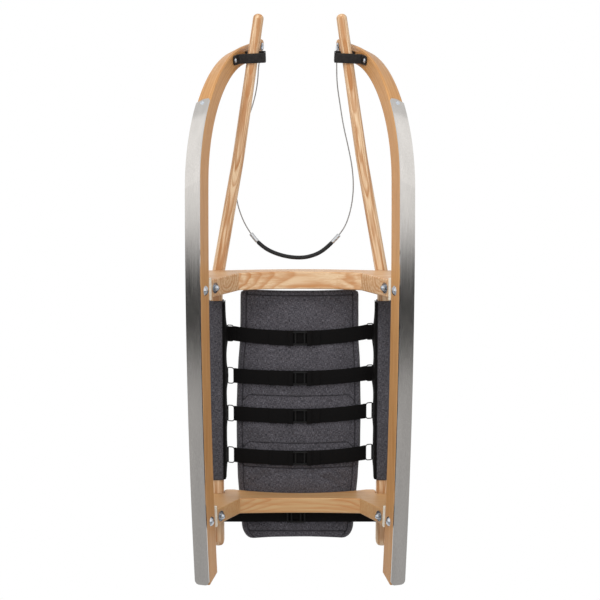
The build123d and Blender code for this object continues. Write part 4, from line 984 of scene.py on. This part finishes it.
rows = mat_rows()
left_edge, right_edge = mat_edges(rows)
inner = np.linspace(0, 1, 50)
plan_x = []
for left_x, right_x in zip(left_edge, right_edge):
    middle = left_x + border + (right_x - left_x - 2 * border) * inner
    edges = [left_x, left_x + border / 2], [right_x - border / 2, right_x]
    plan_x.append(np.concatenate([edges[0], middle, edges[1]]))
plan_x = np.array(plan_x)
count = plan_x.shape[1]
in_cross_seam = np.isin(np.round(rows, 5), np.round(mat_seams, 5))
in_side_seam = np.isin(np.arange(count), (2, count - 3))
in_seam = in_cross_seam[:, None] | in_side_seam[None, :]
on_rim = np.zeros_like(in_seam)
on_rim[[0, -1], :] = True
on_rim[:, [0, -1]] = True
half_seam, half_cloth, fold_reach = 0.0011, 0.0022, 0.015
thick = np.where(on_rim, 0.0, np.where(in_seam, half_seam, half_cloth))
at_side = np.concatenate([[1, 1], np.clip(1 - np.minimum(inner, 1 - inner) / 0.065, 0, 1), [1, 1]])
folded = fold_reach * sum(np.exp(-(((rows - seam - 0.004) / 0.02) ** 2)) for seam in folded_seams)
plan_y = rows[:, None] + folded[:, None] * at_side[None, :]
top = np.stack([plan_x, plan_y, thick], -1)
bottom = top * (1, 1, -1)
grid = np.concatenate([bottom, top[:, -2:0:-1]], axis=1)
held = in_seam | on_rim
pinned = np.concatenate([held, held[:, -2:0:-1]], axis=1)
mat_dark, mat_pale = (0.015, 0.0143, 0.018), (0.175, 0.167, 0.190)
mat_cloth = flecked_cloth("flecked_mat", mat_dark, mat_pale, depth=0.00022, seamed=True)
mat = surface("quilted_mat", grid, grid[..., :2].copy(), mat_cloth, loop_v=True)
to_row = np.min([np.abs(rows - seam) for seam in mat_seams], axis=0)[:, None]
flat_left = left_edge[:, None] + border
flat_right = right_edge[:, None] - border
to_side = np.minimum(np.abs(grid[..., 0] - flat_left), np.abs(grid[..., 0] - flat_right))
inside = (grid[..., 0] > flat_left - 1e-6) & (grid[..., 0] < flat_right + 1e-6)
from_seam = np.where(inside, np.minimum(to_row, to_side), to_side)
seam_layer = mat.data.attributes.new("from_seam", "FLOAT", "POINT")
seam_layer.data.foreach_set("value", from_seam.ravel())
group = mat.vertex_groups.new(name="seams")
group.add(np.flatnonzero(pinned.ravel()).tolist(), 1.0, "REPLACE")
blow = mat.modifiers.new("blow", "CLOTH")
sim = blow.settings
sim.quality = 4
sim.mass = 0.15
sim.tension_stiffness = 12
sim.compression_stiffness = 12
sim.shear_stiffness = 6
sim.bending_stiffness = 0.08
sim.air_damping = 4
sim.vertex_group_mass = "seams"
sim.shrink_min = -0.02
sim.use_pressure = True
sim.uniform_pressure_force = 1.2
sim.effector_weights.gravity = 0
for still in range(1, 26):
    bpy.context.scene.frame_set(still)
blown = mat.evaluated_get(bpy.context.evaluated_depsgraph_get())
shape = np.zeros(len(mat.data.vertices) * 3)
blown.to_mesh().vertices.foreach_get("co", shape)
blown.to_mesh_clear()
mat.modifiers.remove(blow)
bpy.context.scene.frame_set(1)

# The lower sheet may hang 6.8 mm under the mat's middle, and 4 mm at a strap: z = r tanh(z / r).
# The tail's corners trail behind its middle. The whole is then rolled to a radius about the sag.
bend_radius, bend_height = 0.3237, 0.527724
x, y, z = shape.reshape(-1, 3).T
z = z + 0.0009 * puckers(x, y, 0.05, 3)
pressed = sum(np.exp(-(((y - row) / 0.022) ** 4)) for row in (*strap_rows, rear_bridge_y, rear_row))
room = 0.0068 - 0.0028 * np.clip(pressed, 0, 1)
z = np.where(z < 0, room * np.tanh(z / room), z)
radius = bend_radius - z
heart_z = bend_height + seat_slope * (y - rear_bridge_y)
droop = 0.0095 * np.clip((y - 0.455) / 0.05, 0, 1) ** 2 * ((x / 0.11) ** 2 - 0.1)
turned = x / bend_radius
bent = np.stack([radius * np.sin(turned), y + droop, heart_z - radius * np.cos(turned)], 1)
mat.data.vertices.foreach_set("co", bent.ravel())
mat.data.update()
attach(mat, "root")
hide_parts("seat_mat")

# Camera, light and floor. The sled stands on its runners, and the camera looks up at it from
# straight below the floor, a little from the front. The floor shows from above only, and fades
# into the white round it.
half_picture, focal_length = 300, 1700  # pixels
camera_y, camera_z = -0.4890, -3.1649
forwards = math.radians(8.5)
ahead = Vector((0, math.sin(forwards), math.cos(forwards)))
above = Vector((0, -math.cos(forwards), math.sin(forwards)))
eye = bpy.data.cameras.new("camera")
eye.sensor_width = 36
eye.lens = eye.sensor_width / 2 / (half_picture / focal_length)
eye.clip_end = 50
camera = bpy.data.objects.new("camera", eye)
camera.matrix_world = Matrix(
    (
        (1, above.x, -ahead.x, 0),
        (0, above.y, -ahead.y, camera_y),
        (0, above.z, -ahead.z, camera_z),
        (0, 0, 0, 1),
    )
)
bpy.context.collection.objects.link(camera)
bpy.context.scene.camera = camera
bpy.context.scene.view_settings.view_transform = "Standard"


def lamp(name, place, target, size, power):
    """A square soft light that faces its target."""
    light = bpy.data.lights.new(name, "AREA")
    light.size = size
    light.energy = power
    holder = bpy.data.objects.new(name, light)
    holder.location = place
    holder.rotation_euler = (Vector(target) - Vector(place)).to_track_quat("-Z", "Y").to_euler()
    bpy.context.collection.objects.link(holder)
    holder.visible_glossy = False
    holder.visible_camera = False


lamp("under_front", (-0.8, -2.3, -1.7), (0, -0.25, 0.15), 1.4, 52)
lamp("under_middle", (0.15, -0.42, -1.1), (0, -0.02, 0.18), 0.6, 6.5)
lamp("over_left", (-1.6, -1.2, 2.4), (0, 0, 0.1), 1.6, 48)
lamp("over_right", (1.9, 0.8, 2.2), (0, 0, 0.1), 1.8, 26)

# The world is even for matt surfaces and white for the camera. Bright metal seen from below mirrors
# lights in front, a dark gap and a dimmer light behind, by the y of the mirrored direction.
world = bpy.data.worlds.new("studio")
bpy.context.scene.world = world
world.use_nodes = True
tree = world.node_tree
background = tree.nodes["Background"]
_, y, z = apart(tree, add(tree, "TexCoord").outputs["Generated"])
forward = mapped(tree, y, -0.2, 0.5)
studio = ramp(
    tree,
    forward,
    (0.00, 1.20),
    (0.37, 1.22),
    (0.425, 0.84),
    (0.462, 0.06),
    (0.48, 0.0),
    (0.562, 0.0),
    (0.60, 0.15),
    (0.64, 0.48),
    (0.70, 0.55),
    (0.85, 0.51),
)
under = calc(tree, "LESS_THAN", z, 0.0)
seen = mixed(tree, under, (0.9, 0.9, 0.9), studio)
paths = add(tree, "LightPath")
light_level = mixed(tree, paths.outputs["Is Glossy Ray"], (0.62, 0.62, 0.62), seen)
direct = calc(tree, "MAXIMUM", paths.outputs["Is Camera Ray"], paths.outputs["Is Transmission Ray"])
level = mixed(tree, direct, light_level, (1.0, 1.0, 1.0))
tree.links.new(level, background.inputs["Color"])

bpy.ops.mesh.primitive_plane_add(size=14, location=(0, 0, -0.0005))
floor = bpy.context.object
floor.name = "floor"
material, tree, shader = finish_named("pale_floor")
fill(tree, shader, {"Base Color": (0.86, 0.86, 0.86, 1), "Roughness": 0.8})
clear = add(tree, "BsdfTransparent")
paths = add(tree, "LightPath")
behind = add(tree, "NewGeometry").outputs["Backfacing"]
away = vector_calc(tree, "LENGTH", place_on(tree))
faded = mapped(tree, away, 0.9, 2.6, interpolation_type="SMOOTHERSTEP")
unseen = calc(tree, "MAXIMUM", behind, calc(tree, "SUBTRACT", 1.0, paths.outputs["Is Camera Ray"]))
unseen = calc(tree, "MAXIMUM", unseen, faded)
blend = add(tree, "MixShader", {0: unseen, 1: shader.outputs[0], 2: clear.outputs[0]})
tree.links.new(blend.outputs[0], tree.nodes["Material Output"].inputs["Surface"])
floor.data.materials.append(material)
